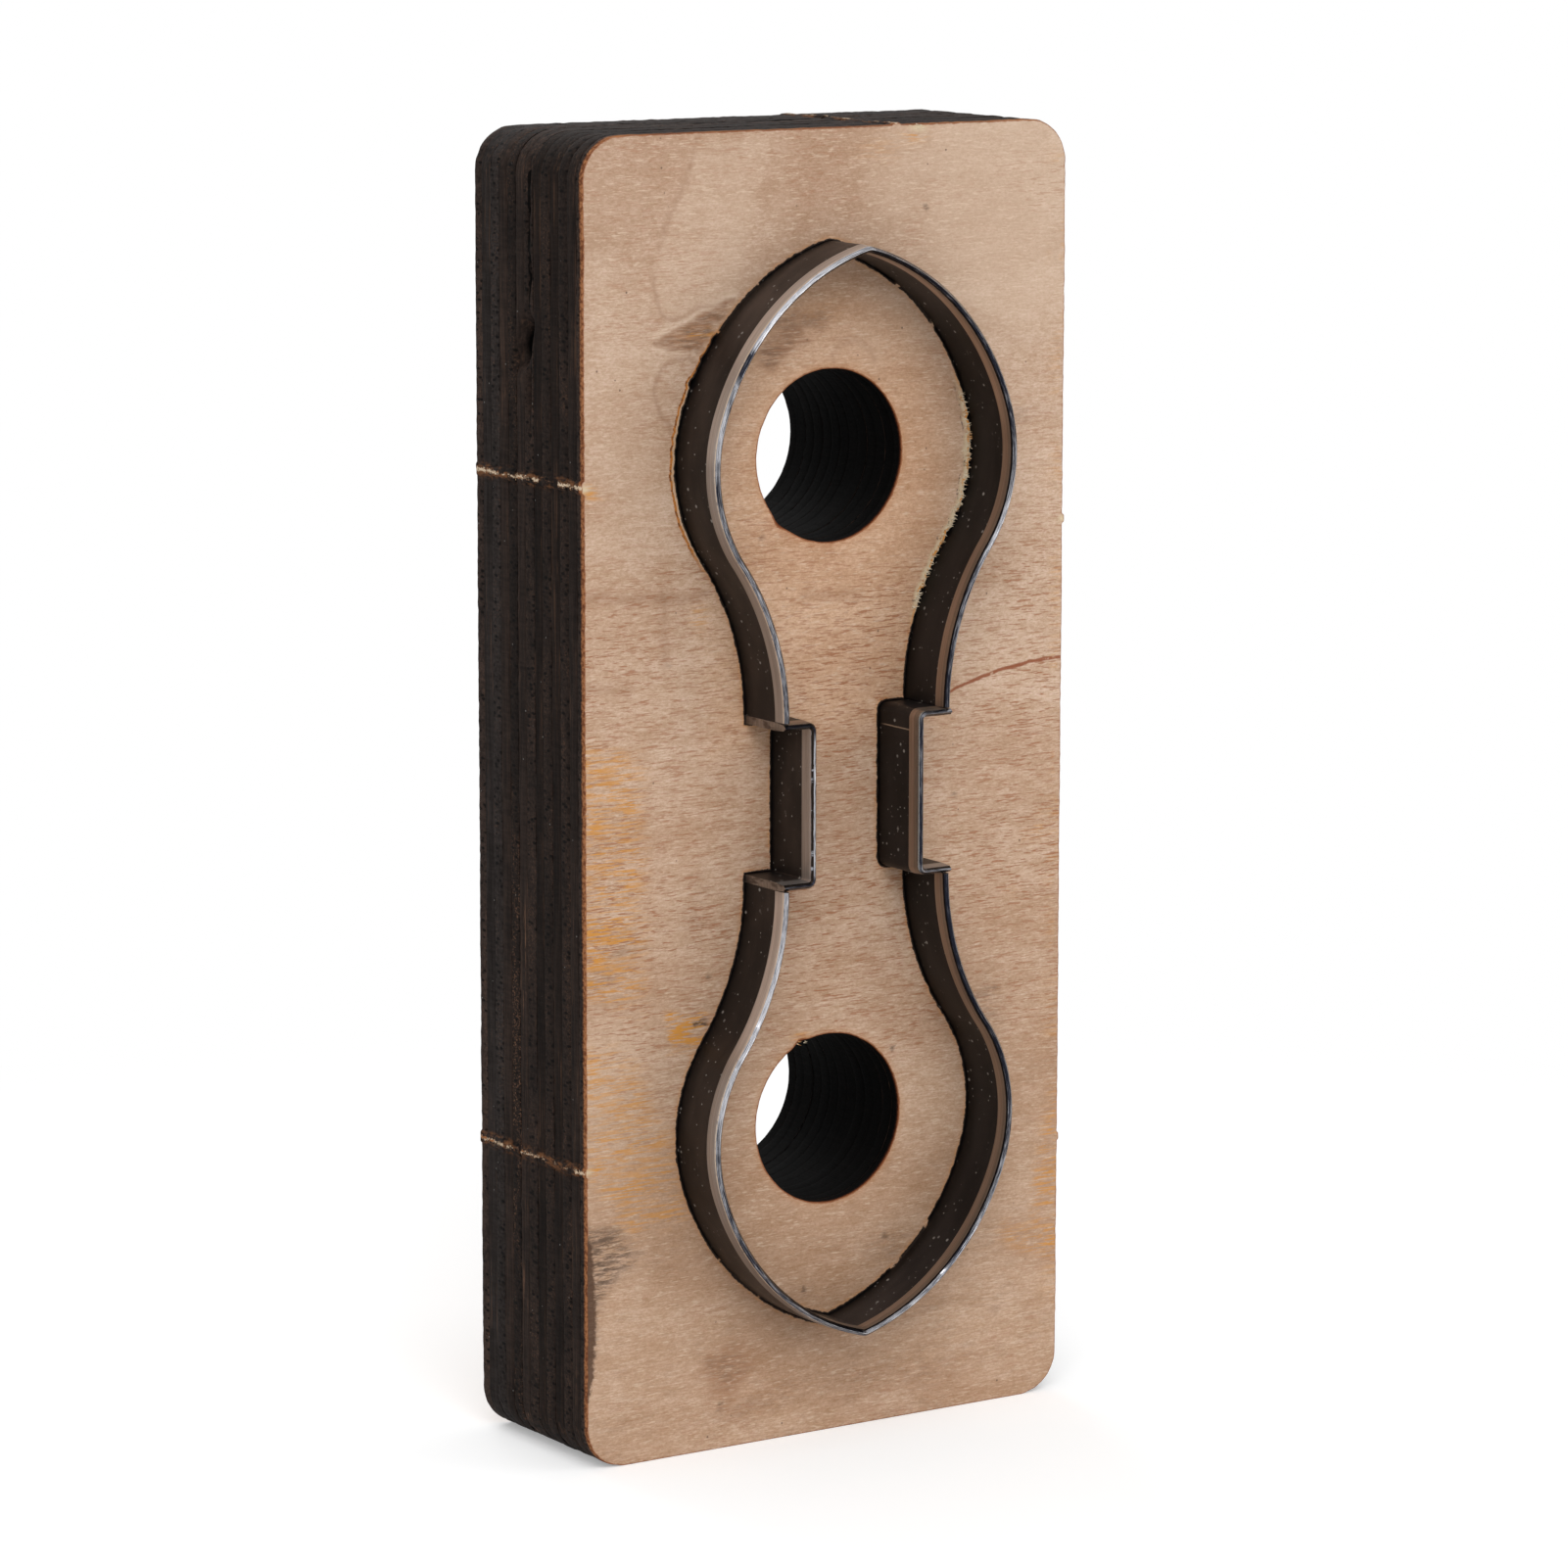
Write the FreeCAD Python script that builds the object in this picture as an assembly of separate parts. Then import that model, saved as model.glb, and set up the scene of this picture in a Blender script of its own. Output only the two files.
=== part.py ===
import FreeCAD, Part
import math
import os
from FreeCAD import Vector

# Steel-rule cutting die for a dogbone-shaped leather tag, in millimetres.
# The board stands on its bottom edge: X is the width, Z the height, and the blade faces -Y.
# Outline places are given as (x, height), with the height counted from the board's middle.

# Plywood board
BOARD_WIDTH = 50.0
BOARD_HEIGHT = 115.0
BOARD_THICKNESS = 17.5
CORNER_RADIUS = 3.8
PLY_COUNT = 13
FRONT_CORE_PLIES = 6
FACE_VENEER_THICKNESS = 1.1

# Holes through which the cut leather is pushed out, one in the middle of each lobe
EJECTION_HOLE_DIAMETER = 15.0
LOBE_SPACING = 58.5

# Torn stubs where the board was held in its sheet while it was cut out
TAB_ROOT_WIDTH = 0.9
TAB_TIP_WIDTH = 0.6
TAB_STUB = 0.25
LEFT_TAB_HEIGHTS = (-31.1, 28.0)
RIGHT_TAB_HEIGHTS = (-34.0, 22.1)
TOP_TAB_X = 6.9

# Steel rule: a strip with a ground flank and a steeper tip bevel on both sides of its edge
RULE_HEIGHT = 23.8
RULE_THICKNESS = 0.71
GROUND_FLANK_HEIGHT = 1.55
TIP_BEVEL_HEIGHT = 0.3
TIP_BEVEL_ROOT = 0.53

# Centre line of a lobe rule: tip bend, flank, shoulder and neck, all tangent to each other
LOBE_TIP_RISE = 18.15
LOBE_HALF_WIDTH = 15.35
LOBE_END_HALF_WIDTH = 8.35
FLANK_RADIUS = 21.0
SHOULDER_RADIUS = 14.0
UPPER_TIP_BEND_RADIUS = 1.4
LOWER_TIP_BEND_RADIUS = 0.6

# Centre line of a notch rule, whose two legs close the step between neck and notch
NOTCH_HALF_WIDTH = 5.6
NOTCH_HALF_HEIGHT = 6.95
NOTCH_BEND_RADIUS = 0.5

# Fits between rule and board
KERF_CLEARANCE = 0.02
LEG_END_CLEARANCE = 0.05
BUTT_GAP = 0.03

# How far a cutting shape runs past the faces that it cuts
CUT_MARGIN = 1.0

# Bridges of uncut wood that carry the inner island, and the notches that straddle them
BRIDGE_WIDTH = 6.0
BRIDGE_CLEARANCE = 0.25
BRIDGE_NOTCH_CORNER = 1.2

# Worked-out places, with the rule centred on y = 0 from its base to its edge
MID_HEIGHT = BOARD_HEIGHT / 2
BACK_Y = RULE_HEIGHT / 2
EDGE_Y = -RULE_HEIGHT / 2
FRONT_Y = BACK_Y - BOARD_THICKNESS
HALF_RULE = RULE_THICKNESS / 2
HALF_KERF = HALF_RULE + KERF_CLEARANCE
LEG_END_X = LOBE_END_HALF_WIDTH + HALF_RULE
LOBE_END_HEIGHT = NOTCH_HALF_HEIGHT + HALF_RULE + BUTT_GAP
LOBE_MID_HEIGHT = LOBE_SPACING / 2
LOBE_TIP_HEIGHT = LOBE_MID_HEIGHT + LOBE_TIP_RISE


def place(x, height, y=0.0):
    """A point of the outline in the part's frame."""
    return Vector(x, y, MID_HEIGHT + height)


def arc_edge(x, height, radius, start, end):
    """An arc about a point of the outline, with its angles in degrees from +X towards +Z."""
    def at(degrees):
        turn = math.radians(degrees)
        return place(x + radius * math.cos(turn), height + radius * math.sin(turn))

    return Part.Arc(at(start), at((start + end) / 2), at(end)).toShape()


class Bend:
    """A stretch of centre line bent round a centre, with its angles in degrees."""

    def __init__(self, centre, radius, start, end):
        self.centre = centre
        self.radius = radius
        self.start = start
        self.end = end

    def strip(self, section):
        """The section carried round the bend."""
        turn = math.radians(self.start)
        x, height = self.centre
        points = []
        for offset, y in section:
            reach = self.radius + offset
            points.append(place(x + reach * math.cos(turn), height + reach * math.sin(turn), y))
        face = Part.Face(Part.makePolygon(points + points[:1]))
        return face.revolve(place(x, height), Vector(0, -1, 0), self.end - self.start)


class Run:
    """A straight stretch of centre line from one point to another."""

    def __init__(self, start, end):
        self.start = start
        self.end = end

    def strip(self, section):
        """The section carried along the run."""
        way = place(*self.end) - place(*self.start)
        across = Vector(0, 1, 0).cross(way).normalize()
        points = [place(*self.start, y) + across * offset for offset, y in section]
        return Part.Face(Part.makePolygon(points + points[:1])).extrude(way)


def circles_meet(first, first_radius, second, second_radius):
    """The crossing of two circles that lies to the right of the way from first to second."""
    gap_x = second[0] - first[0]
    gap_height = second[1] - first[1]
    gap = math.hypot(gap_x, gap_height)
    along = (first_radius ** 2 - second_radius ** 2 + gap ** 2) / (2 * gap)
    across = math.sqrt(first_radius ** 2 - along ** 2)
    x = first[0] + (along * gap_x + across * gap_height) / gap
    height = first[1] + (along * gap_height - across * gap_x) / gap
    return x, height


def direction(start, end):
    """The angle of the way from one point to another, in degrees."""
    return math.degrees(math.atan2(end[1] - start[1], end[0] - start[0]))


def lobe_path(tip_radius):
    """The right half of a lobe's centre line, from its tip down to the notch rule's leg."""
    tip = (0.0, LOBE_TIP_HEIGHT - tip_radius)
    shoulder = (LOBE_HALF_WIDTH - SHOULDER_RADIUS, LOBE_MID_HEIGHT)
    flank = circles_meet(tip, FLANK_RADIUS - tip_radius, shoulder, FLANK_RADIUS - SHOULDER_RADIUS)
    # the neck's arc ends upright at the joint, so its radius follows from the shoulder that it meets
    side = LOBE_END_HALF_WIDTH - shoulder[0]
    rise = shoulder[1] - LOBE_END_HEIGHT
    neck_radius = (side ** 2 + rise ** 2 - SHOULDER_RADIUS ** 2) / (2 * (SHOULDER_RADIUS - side))
    neck = (LOBE_END_HALF_WIDTH + neck_radius, LOBE_END_HEIGHT)
    tip_turn = direction(flank, tip)
    shoulder_turn = direction(flank, shoulder)
    neck_turn = direction(shoulder, neck)
    return [
        Bend(tip, tip_radius, 90, tip_turn),
        Bend(flank, FLANK_RADIUS, tip_turn, shoulder_turn),
        Bend(shoulder, SHOULDER_RADIUS, shoulder_turn, neck_turn),
        Bend(neck, neck_radius, 180 + neck_turn, 180),
    ]


def notch_path(leg_end_x):
    """The right notch rule's centre line: a leg, a bend, the upright, a bend and a leg."""
    bend_x = NOTCH_HALF_WIDTH + NOTCH_BEND_RADIUS
    bend_height = NOTCH_HALF_HEIGHT - NOTCH_BEND_RADIUS
    return [
        Run((leg_end_x, NOTCH_HALF_HEIGHT), (bend_x, NOTCH_HALF_HEIGHT)),
        Bend((bend_x, bend_height), NOTCH_BEND_RADIUS, 90, 180),
        Run((NOTCH_HALF_WIDTH, bend_height), (NOTCH_HALF_WIDTH, -bend_height)),
        Bend((bend_x, -bend_height), NOTCH_BEND_RADIUS, 180, 270),
        Run((bend_x, -NOTCH_HALF_HEIGHT), (leg_end_x, -NOTCH_HALF_HEIGHT)),
    ]


def rule_section():
    """The rule's cross-section as (offset, y), from its square base to its edge."""
    flank_y = EDGE_Y + GROUND_FLANK_HEIGHT
    tip_y = EDGE_Y + TIP_BEVEL_HEIGHT
    half_tip = TIP_BEVEL_ROOT / 2
    return [
        (-HALF_RULE, BACK_Y),
        (HALF_RULE, BACK_Y),
        (HALF_RULE, flank_y),
        (half_tip, tip_y),
        (0.0, EDGE_Y),
        (-half_tip, tip_y),
        (-HALF_RULE, flank_y),
    ]


def kerf_section():
    """The cross-section of the slot that holds the rule, past both faces of the board."""
    front = FRONT_Y - CUT_MARGIN
    back = BACK_Y + CUT_MARGIN
    return [(-HALF_KERF, back), (HALF_KERF, back), (HALF_KERF, front), (-HALF_KERF, front)]


def joined(solids):
    """One solid from stretches that meet end to end."""
    return solids[0].multiFuse(solids[1:]).removeSplitter()


def mirrored_across(shape):
    """The shape's twin on the other side of the board's upright middle plane."""
    return shape.mirror(place(0, 0), Vector(1, 0, 0))


def mirrored_down(shape):
    """The shape's twin below the board's middle height."""
    return shape.mirror(place(0, 0), Vector(0, 0, 1))


def bridge_block(path, width, front_y, corner):
    """A block across the flank's middle, from behind the board forward to front_y."""
    flank = path[1]
    turn = math.radians((flank.start + flank.end) / 2)
    outward = Vector(math.cos(turn), 0, math.sin(turn))
    along = Vector(-math.sin(turn), 0, math.cos(turn))
    back_y = BACK_Y + CUT_MARGIN
    reach = RULE_THICKNESS + CUT_MARGIN
    start = place(*flank.centre) + outward * (flank.radius - reach)
    corners = [
        start + along * (side * width / 2) + Vector(0, y, 0)
        for side, y in ((-1, back_y), (-1, front_y), (1, front_y), (1, back_y))
    ]
    block = Part.Face(Part.makePolygon(corners + corners[:1])).extrude(outward * (2 * reach))
    if corner > 0:
        front_edges = [
            edge for edge in block.Edges
            if all(abs(vertex.Y - front_y) < 1e-6 for vertex in edge.Vertexes)
            and abs((edge.Vertexes[1].Point - edge.Vertexes[0].Point).normalize().dot(outward)) > 0.99
        ]
        block = block.makeFillet(corner, front_edges)
    return block


def lobe_rule(tip_radius):
    """One strip bent round a whole upper lobe, notched from its base over its two bridges."""
    path = lobe_path(tip_radius)
    half = joined([stretch.strip(rule_section()) for stretch in path])
    notch_width = BRIDGE_WIDTH + 2 * BRIDGE_CLEARANCE
    half = half.cut(bridge_block(path, notch_width, FRONT_Y - BRIDGE_CLEARANCE, BRIDGE_NOTCH_CORNER))
    return joined([half, mirrored_across(half)])


def lobe_kerf(tip_radius):
    """The slots of an upper lobe's right half, from the tip to the notch rule, with its bridge uncut."""
    path = lobe_path(tip_radius)
    end = Run((LOBE_END_HALF_WIDTH, LOBE_END_HEIGHT), (LOBE_END_HALF_WIDTH, NOTCH_HALF_HEIGHT))
    slot = joined([stretch.strip(kerf_section()) for stretch in path + [end]])
    return slot.cut(bridge_block(path, BRIDGE_WIDTH, FRONT_Y - 2 * CUT_MARGIN, 0))


def notch_rule():
    """The right notch rule: a strip with a leg bent out at each end, flush with the lobes' outside."""
    return joined([stretch.strip(rule_section()) for stretch in notch_path(LEG_END_X)])


def kerfs():
    """Every slot through the board."""
    notch_slots = [
        stretch.strip(kerf_section()) for stretch in notch_path(LEG_END_X + LEG_END_CLEARANCE)
    ]
    lower = mirrored_down(lobe_kerf(LOWER_TIP_BEND_RADIUS))
    right = lobe_kerf(UPPER_TIP_BEND_RADIUS).multiFuse([lower] + notch_slots)
    return right.fuse(mirrored_across(right))


def ejection_holes():
    """The two round holes, past both faces of the board."""
    depth = BOARD_THICKNESS + 2 * CUT_MARGIN
    holes = []
    for height in (-LOBE_MID_HEIGHT, LOBE_MID_HEIGHT):
        start = place(0, height, FRONT_Y - CUT_MARGIN)
        holes.append(Part.makeCylinder(EJECTION_HOLE_DIAMETER / 2, depth, start, Vector(0, 1, 0)))
    return holes


def side_edges(start, end, tabs):
    """One side of the board from start to end, with a torn stub standing out at each tab."""
    way = (place(*end) - place(*start)).normalize()
    outward = way.cross(Vector(0, -1, 0))
    points = [place(*start)]
    for tab in sorted(tabs, key=lambda spot: (place(*spot) - place(*start)).dot(way)):
        foot = way * (TAB_ROOT_WIDTH / 2)
        tip = way * (TAB_TIP_WIDTH / 2)
        top = place(*tab) + outward * TAB_STUB
        points += [place(*tab) - foot, top - tip, top + tip, place(*tab) + foot]
    points.append(place(*end))
    return Part.makePolygon(points).Edges


def board_outline():
    """The board's face: a rectangle with round corners and its torn tab stubs."""
    side = BOARD_WIDTH / 2
    end = BOARD_HEIGHT / 2
    x = side - CORNER_RADIUS
    height = end - CORNER_RADIUS
    left_tabs = [(-side, tab) for tab in LEFT_TAB_HEIGHTS]
    right_tabs = [(side, tab) for tab in RIGHT_TAB_HEIGHTS]
    edges = [arc_edge(x, height, CORNER_RADIUS, 0, 90)]
    edges += side_edges((x, end), (-x, end), [(TOP_TAB_X, end)])
    edges += [arc_edge(-x, height, CORNER_RADIUS, 90, 180)]
    edges += side_edges((-side, height), (-side, -height), left_tabs)
    edges += [arc_edge(-x, -height, CORNER_RADIUS, 180, 270)]
    edges += side_edges((-x, -end), (x, -end), [])
    edges += [arc_edge(x, -height, CORNER_RADIUS, 270, 360)]
    edges += side_edges((side, -height), (side, height), right_tabs)
    return Part.Face(Part.Wire(edges))


def layers():
    """The board's layers from front to back, each cut through by every slot and hole."""
    core_plies = PLY_COUNT - 2
    ply_thickness = (BOARD_THICKNESS - 2 * FACE_VENEER_THICKNESS) / core_plies
    thicknesses = {
        "front_veneer": FACE_VENEER_THICKNESS,
        "front_core": FRONT_CORE_PLIES * ply_thickness,
        "back_core": (core_plies - FRONT_CORE_PLIES) * ply_thickness,
        "back_veneer": FACE_VENEER_THICKNESS,
    }
    outline = board_outline()
    cuts = [kerfs()] + ejection_holes()
    stack = {}
    y = FRONT_Y
    for name, thickness in thicknesses.items():
        blank = outline.translated(Vector(0, y, 0)).extrude(Vector(0, thickness, 0))
        stack[name] = blank.cut(cuts)
        y += thickness
    return stack


def die():
    """Every piece of the die by name."""
    pieces = layers()
    pieces["upper_lobe_rule"] = lobe_rule(UPPER_TIP_BEND_RADIUS)
    pieces["lower_lobe_rule"] = mirrored_down(lobe_rule(LOWER_TIP_BEND_RADIUS))
    pieces["right_notch_rule"] = notch_rule()
    pieces["left_notch_rule"] = mirrored_across(pieces["right_notch_rule"])
    return pieces


os.makedirs("parts", exist_ok=True)
for name, shape in die().items():
    solid = shape.Solids[0] if len(shape.Solids) == 1 else shape
    print("%-18s %d solid, %9.1f mm3, valid %s" % (
        name, len(shape.Solids), shape.Volume, shape.isValid()))
    solid.exportStep("parts/%s.step" % name)
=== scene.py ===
"""Looks of the steel-rule cutting die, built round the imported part.

The board is shown as its thirteen birch plies, each a closed mesh with laser-charred walls, and the
blade as four strips of blackened steel rule with a ground flank and a polished tip bevel. Shapes are
worked out in millimetres, in the part's own frame, and put into the meshes in metres.
"""

import logging
import math
from dataclasses import dataclass, field
from enum import Enum

import bmesh
import bpy
import numpy as np
from mathutils import Matrix, Vector
from mathutils.geometry import delaunay_2d_cdt


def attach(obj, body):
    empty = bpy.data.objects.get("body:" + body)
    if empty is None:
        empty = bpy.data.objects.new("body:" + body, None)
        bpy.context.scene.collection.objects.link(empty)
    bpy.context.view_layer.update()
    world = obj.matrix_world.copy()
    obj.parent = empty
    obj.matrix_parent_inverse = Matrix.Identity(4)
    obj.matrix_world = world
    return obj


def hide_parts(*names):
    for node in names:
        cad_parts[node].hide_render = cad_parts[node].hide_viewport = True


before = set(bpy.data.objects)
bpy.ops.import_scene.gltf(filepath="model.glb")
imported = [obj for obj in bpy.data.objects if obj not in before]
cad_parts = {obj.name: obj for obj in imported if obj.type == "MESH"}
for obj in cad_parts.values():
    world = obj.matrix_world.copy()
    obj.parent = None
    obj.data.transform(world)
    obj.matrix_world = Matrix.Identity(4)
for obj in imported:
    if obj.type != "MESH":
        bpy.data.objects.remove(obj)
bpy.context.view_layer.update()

MM = 0.001
MID_HEIGHT = 57.5
FRONT_Y = -5.6
BACK_Y = 11.9
EDGE_Y = -11.9
STILL = (0.0, 0.0, 0.0)
Socket = bpy.types.NodeSocket
Array = np.ndarray

log = logging.getLogger("cutting_die")


# Lines and noise


@dataclass(frozen=True)
class Line:
    """A sampled line on the board, as (x, height) in millimetres with the height from the board's middle.

    Attributes:
        points: Its places, one row each.
        normals: Unit vectors, pointing away from the leather's side of the blade.
    """

    points: Array
    normals: Array

    def offset(self, distance: float) -> Array:
        """Its points moved along their normals by a distance."""
        return self.points + self.normals * distance

    def mirrored(self, across: bool = False, down: bool = False) -> "Line":
        """The line's twin, run the other way so that it can join on to it.

        Args:
            across: Whether to mirror it left to right.
            down: Whether to mirror it top to bottom.

        Returns:
            The mirrored and reversed line.
        """
        flip = np.array([-1.0 if across else 1.0, -1.0 if down else 1.0])
        return Line((self.points * flip)[::-1], (self.normals * flip)[::-1])


def bend(centre: tuple, radius: float, start: float, end: float, inside: bool, spacing: float) -> Line:
    """An arc: centre plus radius times (cosine, sine) of an angle that runs from start to end.

    Args:
        centre: Its centre.
        radius: Its radius.
        start: Its first angle in degrees.
        end: Its last angle in degrees.
        inside: Whether the normals point towards the centre.
        spacing: The greatest distance between points.

    Returns:
        The sampled arc.
    """
    steps = max(4, math.ceil(abs(math.radians(end - start)) * radius / spacing) + 1)
    turn = np.radians(np.linspace(start, end, steps))
    ray = np.column_stack([np.cos(turn), np.sin(turn)])
    return Line(np.array(centre) + radius * ray, -ray if inside else ray)


def run(start: tuple, end: tuple, normal: tuple, spacing: float) -> Line:
    """A straight line with evenly spaced points and one normal.

    Args:
        start: Its first point.
        end: Its last point.
        normal: The normal of all its points.
        spacing: The greatest distance between points.

    Returns:
        The sampled line.
    """
    steps = max(2, math.ceil(math.dist(start, end) / spacing) + 1)
    share = np.linspace(0.0, 1.0, steps)[:, None]
    points = np.array(start) * (1 - share) + np.array(end) * share
    return Line(points, np.tile(np.array(normal, float), (steps, 1)))


def joined(lines: list) -> Line:
    """Lines that meet end to end as one, with the shared points kept once.

    Args:
        lines: The lines in their order.

    Returns:
        The whole line.
    """
    points = [lines[0].points] + [line.points[1:] for line in lines[1:]]
    normals = [lines[0].normals] + [line.normals[1:] for line in lines[1:]]
    return Line(np.concatenate(points), np.concatenate(normals))


def wander(along: Array, length: float, waves: tuple, seed: int) -> Array:
    """Smooth noise that closes on itself: a sum of sines with random turns, scaled to about -1 to 1.

    Args:
        along: Places along a closed line.
        length: The line's whole length.
        waves: The least and greatest number of waves in that length.
        seed: The seed of its random turns.

    Returns:
        One value for each place.
    """
    rng = np.random.default_rng(seed)
    count = 24
    cycles = np.round(np.geomspace(waves[0], waves[1], count) * rng.uniform(0.85, 1.15, count))
    turns = rng.uniform(0, 2 * np.pi, count)
    total = np.sin(2 * np.pi * cycles * along[..., None] / length + turns).sum(-1)
    return total / math.sqrt(count)


def cloud(points: Array, cell: tuple, seed: int) -> Array:
    """Value noise: random numbers on a lattice, blended smoothly between its corners.

    Args:
        points: Places as (x, height), one row each.
        cell: The lattice's width and height in millimetres.
        seed: The seed of the random numbers.

    Returns:
        One value from 0 to 1 for each place.
    """
    table = np.random.default_rng(seed).random((256, 256))
    grid = (points + 500.0) / np.array(cell)
    low = np.floor(grid).astype(int)
    part = grid - low
    part = part * part * (3 - 2 * part)
    x0, z0 = low[:, 0] % 256, low[:, 1] % 256
    x1, z1 = (x0 + 1) % 256, (z0 + 1) % 256
    bottom = table[x0, z0] * (1 - part[:, 0]) + table[x1, z0] * part[:, 0]
    top = table[x0, z1] * (1 - part[:, 0]) + table[x1, z1] * part[:, 0]
    return bottom * (1 - part[:, 1]) + top * part[:, 1]


def spot(points: Array, centre: tuple, size: tuple, lean: float = 0.0) -> Array:
    """A soft oval: the exponential of minus the squared distance, measured in the oval's own axes.

    Args:
        points: Places as (x, height), one row each.
        centre: The oval's middle.
        size: Its half width and half height.
        lean: How far it is turned, in degrees.

    Returns:
        One value from 0 to 1 for each place.
    """
    turn = math.radians(lean)
    way = points - np.array(centre)
    across = way[:, 0] * math.cos(turn) + way[:, 1] * math.sin(turn)
    up = way[:, 1] * math.cos(turn) - way[:, 0] * math.sin(turn)
    return np.exp(-((across / size[0]) ** 2) - (up / size[1]) ** 2)


def to_path(points: Array, path: list, closed: bool = False) -> Array:
    """Each point's distance to a line of straight stretches.

    Args:
        points: Places as (x, height), one row each.
        path: The line's corners.
        closed: Whether its last corner joins its first.

    Returns:
        One distance for each point.
    """
    corners = np.array(path, float)
    starts = corners if closed else corners[:-1]
    ends = np.roll(corners, -1, 0) if closed else corners[1:]
    best = np.full(len(points), np.inf)
    for start, end in zip(starts, ends):
        way = end - start
        share = np.clip((points - start) @ way / (way @ way), 0, 1)
        best = np.minimum(best, np.linalg.norm(points - start - share[:, None] * way, axis=1))
    return best


def stroke(points: Array, path: list, width: float) -> Array:
    """A soft line: the exponential of minus the squared distance to a path, in widths."""
    return np.exp(-((to_path(points, path) / width) ** 2))


def patch(points: Array, corners: list, soft: float) -> Array:
    """A soft-edged area: a smooth step over the signed distance to its outline.

    Args:
        points: Places as (x, height), one row each.
        corners: The outline's corners.
        soft: The width of the edge.

    Returns:
        One value from 0 to 1 for each place.
    """
    inside = np.zeros(len(points), bool)
    for (x0, z0), (x1, z1) in zip(corners, corners[1:] + corners[:1]):
        if z0 != z1:
            crossing = (x1 - x0) * (points[:, 1] - z0) / (z1 - z0) + x0
            inside ^= ((z0 > points[:, 1]) != (z1 > points[:, 1])) & (points[:, 0] < crossing)
    gap = to_path(points, corners, closed=True)
    share = np.clip(0.5 + np.where(inside, gap, -gap) / soft, 0, 1)
    return share * share * (3 - 2 * share)


def spots(points: Array, marks: tuple) -> Array:
    """Soft ovals in one sum: each is its level, x, height, half width, half height and lean."""
    return sum(spot(points, mark[1:3], mark[3:5], mark[5]) * mark[0] for mark in marks)


def strokes(points: Array, marks: tuple) -> Array:
    """Soft lines in one sum: each is its level, its width and its path."""
    return sum(stroke(points, path, width) * level for level, width, path in marks)


def patches(points: Array, marks: tuple) -> Array:
    """Soft-edged areas in one sum: each is its level, the width of its edge and its corners."""
    return sum(patch(points, list(corners), soft) * level for level, soft, corners in marks)


# Meshes


@dataclass
class Shape:
    """The arrays of one mesh, in millimetres.

    Attributes:
        points: Its vertices, as rows of x, y and z.
        faces: Its faces, as lists of vertex numbers.
        material: The material's number for each face.
        values: Named values, one for each vertex.
        uv: One pair for each face corner, in the faces' order, or None.
    """

    points: Array
    faces: list
    material: Array
    values: dict = field(default_factory=dict)
    uv: Array | None = None

    def to_object(self, name: str, materials: list, sharp: float, weld: bool = False) -> bpy.types.Object:
        """Puts the arrays into a new object that rides on the part's one body.

        Args:
            name: The object's name.
            materials: Its materials in the order of their numbers.
            sharp: The angle in degrees over which an edge looks sharp.
            weld: Whether to merge doubled points and turn the faces outwards.

        Returns:
            The new object.
        """
        mesh = bpy.data.meshes.new(name)
        mesh.from_pydata((self.points * MM).tolist(), [], self.faces)
        mesh.polygons.foreach_set("material_index", self.material.astype(np.int32))
        for key, value in self.values.items():
            mesh.attributes.new(key, "FLOAT", "POINT").data.foreach_set("value", value.astype(np.float32))
        if self.uv is not None:
            mesh.uv_layers.new(name="StripUV").data.foreach_set("uv", self.uv.astype(np.float32).ravel())
        if weld:
            shell = bmesh.new()
            shell.from_mesh(mesh)
            bmesh.ops.remove_doubles(shell, verts=shell.verts, dist=1e-7)
            bmesh.ops.dissolve_degenerate(shell, edges=shell.edges, dist=1e-8)
            bmesh.ops.recalc_face_normals(shell, faces=shell.faces)
            shell.to_mesh(mesh)
            shell.free()
        mesh.polygons.foreach_set("use_smooth", np.ones(len(mesh.polygons), bool))
        mesh.set_sharp_from_angle(angle=math.radians(sharp))
        for material in materials:
            mesh.materials.append(material)
        mesh.update()
        made = bpy.data.objects.new(name, mesh)
        bpy.context.scene.collection.objects.link(made)
        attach(made, "root")
        return made


def into_wood(ring: Array) -> Array:
    """The left normals of a closed ring, which point into the wood: each is the mean of its two edges'.

    Args:
        ring: The ring's points, run with the wood on its left.

    Returns:
        One unit vector for each point.
    """
    ways = np.roll(ring, -1, 0) - ring
    ways /= np.maximum(np.linalg.norm(ways, axis=1), 1e-9)[:, None]
    mean = ways + np.roll(ways, 1, 0)
    mean /= np.maximum(np.linalg.norm(mean, axis=1), 1e-9)[:, None]
    return np.column_stack([-mean[:, 1], mean[:, 0]])


def ring_lengths(ring: Array) -> tuple:
    """Each point's distance along a closed ring, and the ring's whole length."""
    steps = np.linalg.norm(np.roll(ring, -1, 0) - ring, axis=1)
    return np.concatenate([[0.0], np.cumsum(steps)[:-1]]), float(steps.sum())


def nearest(points: Array, targets: Array) -> Array:
    """Each point's distance to the nearest target, worked out in slices.

    Args:
        points: Places as (x, height), one row each.
        targets: Places to measure to.

    Returns:
        One distance for each point.
    """
    found = np.empty(len(points))
    for start in range(0, len(points), 2000):
        part = points[start:start + 2000]
        gap = part[:, None, :] - targets[None, :, :]
        found[start:start + 2000] = np.sqrt((gap ** 2).sum(-1).min(1))
    return found


# The blade's outline


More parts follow.
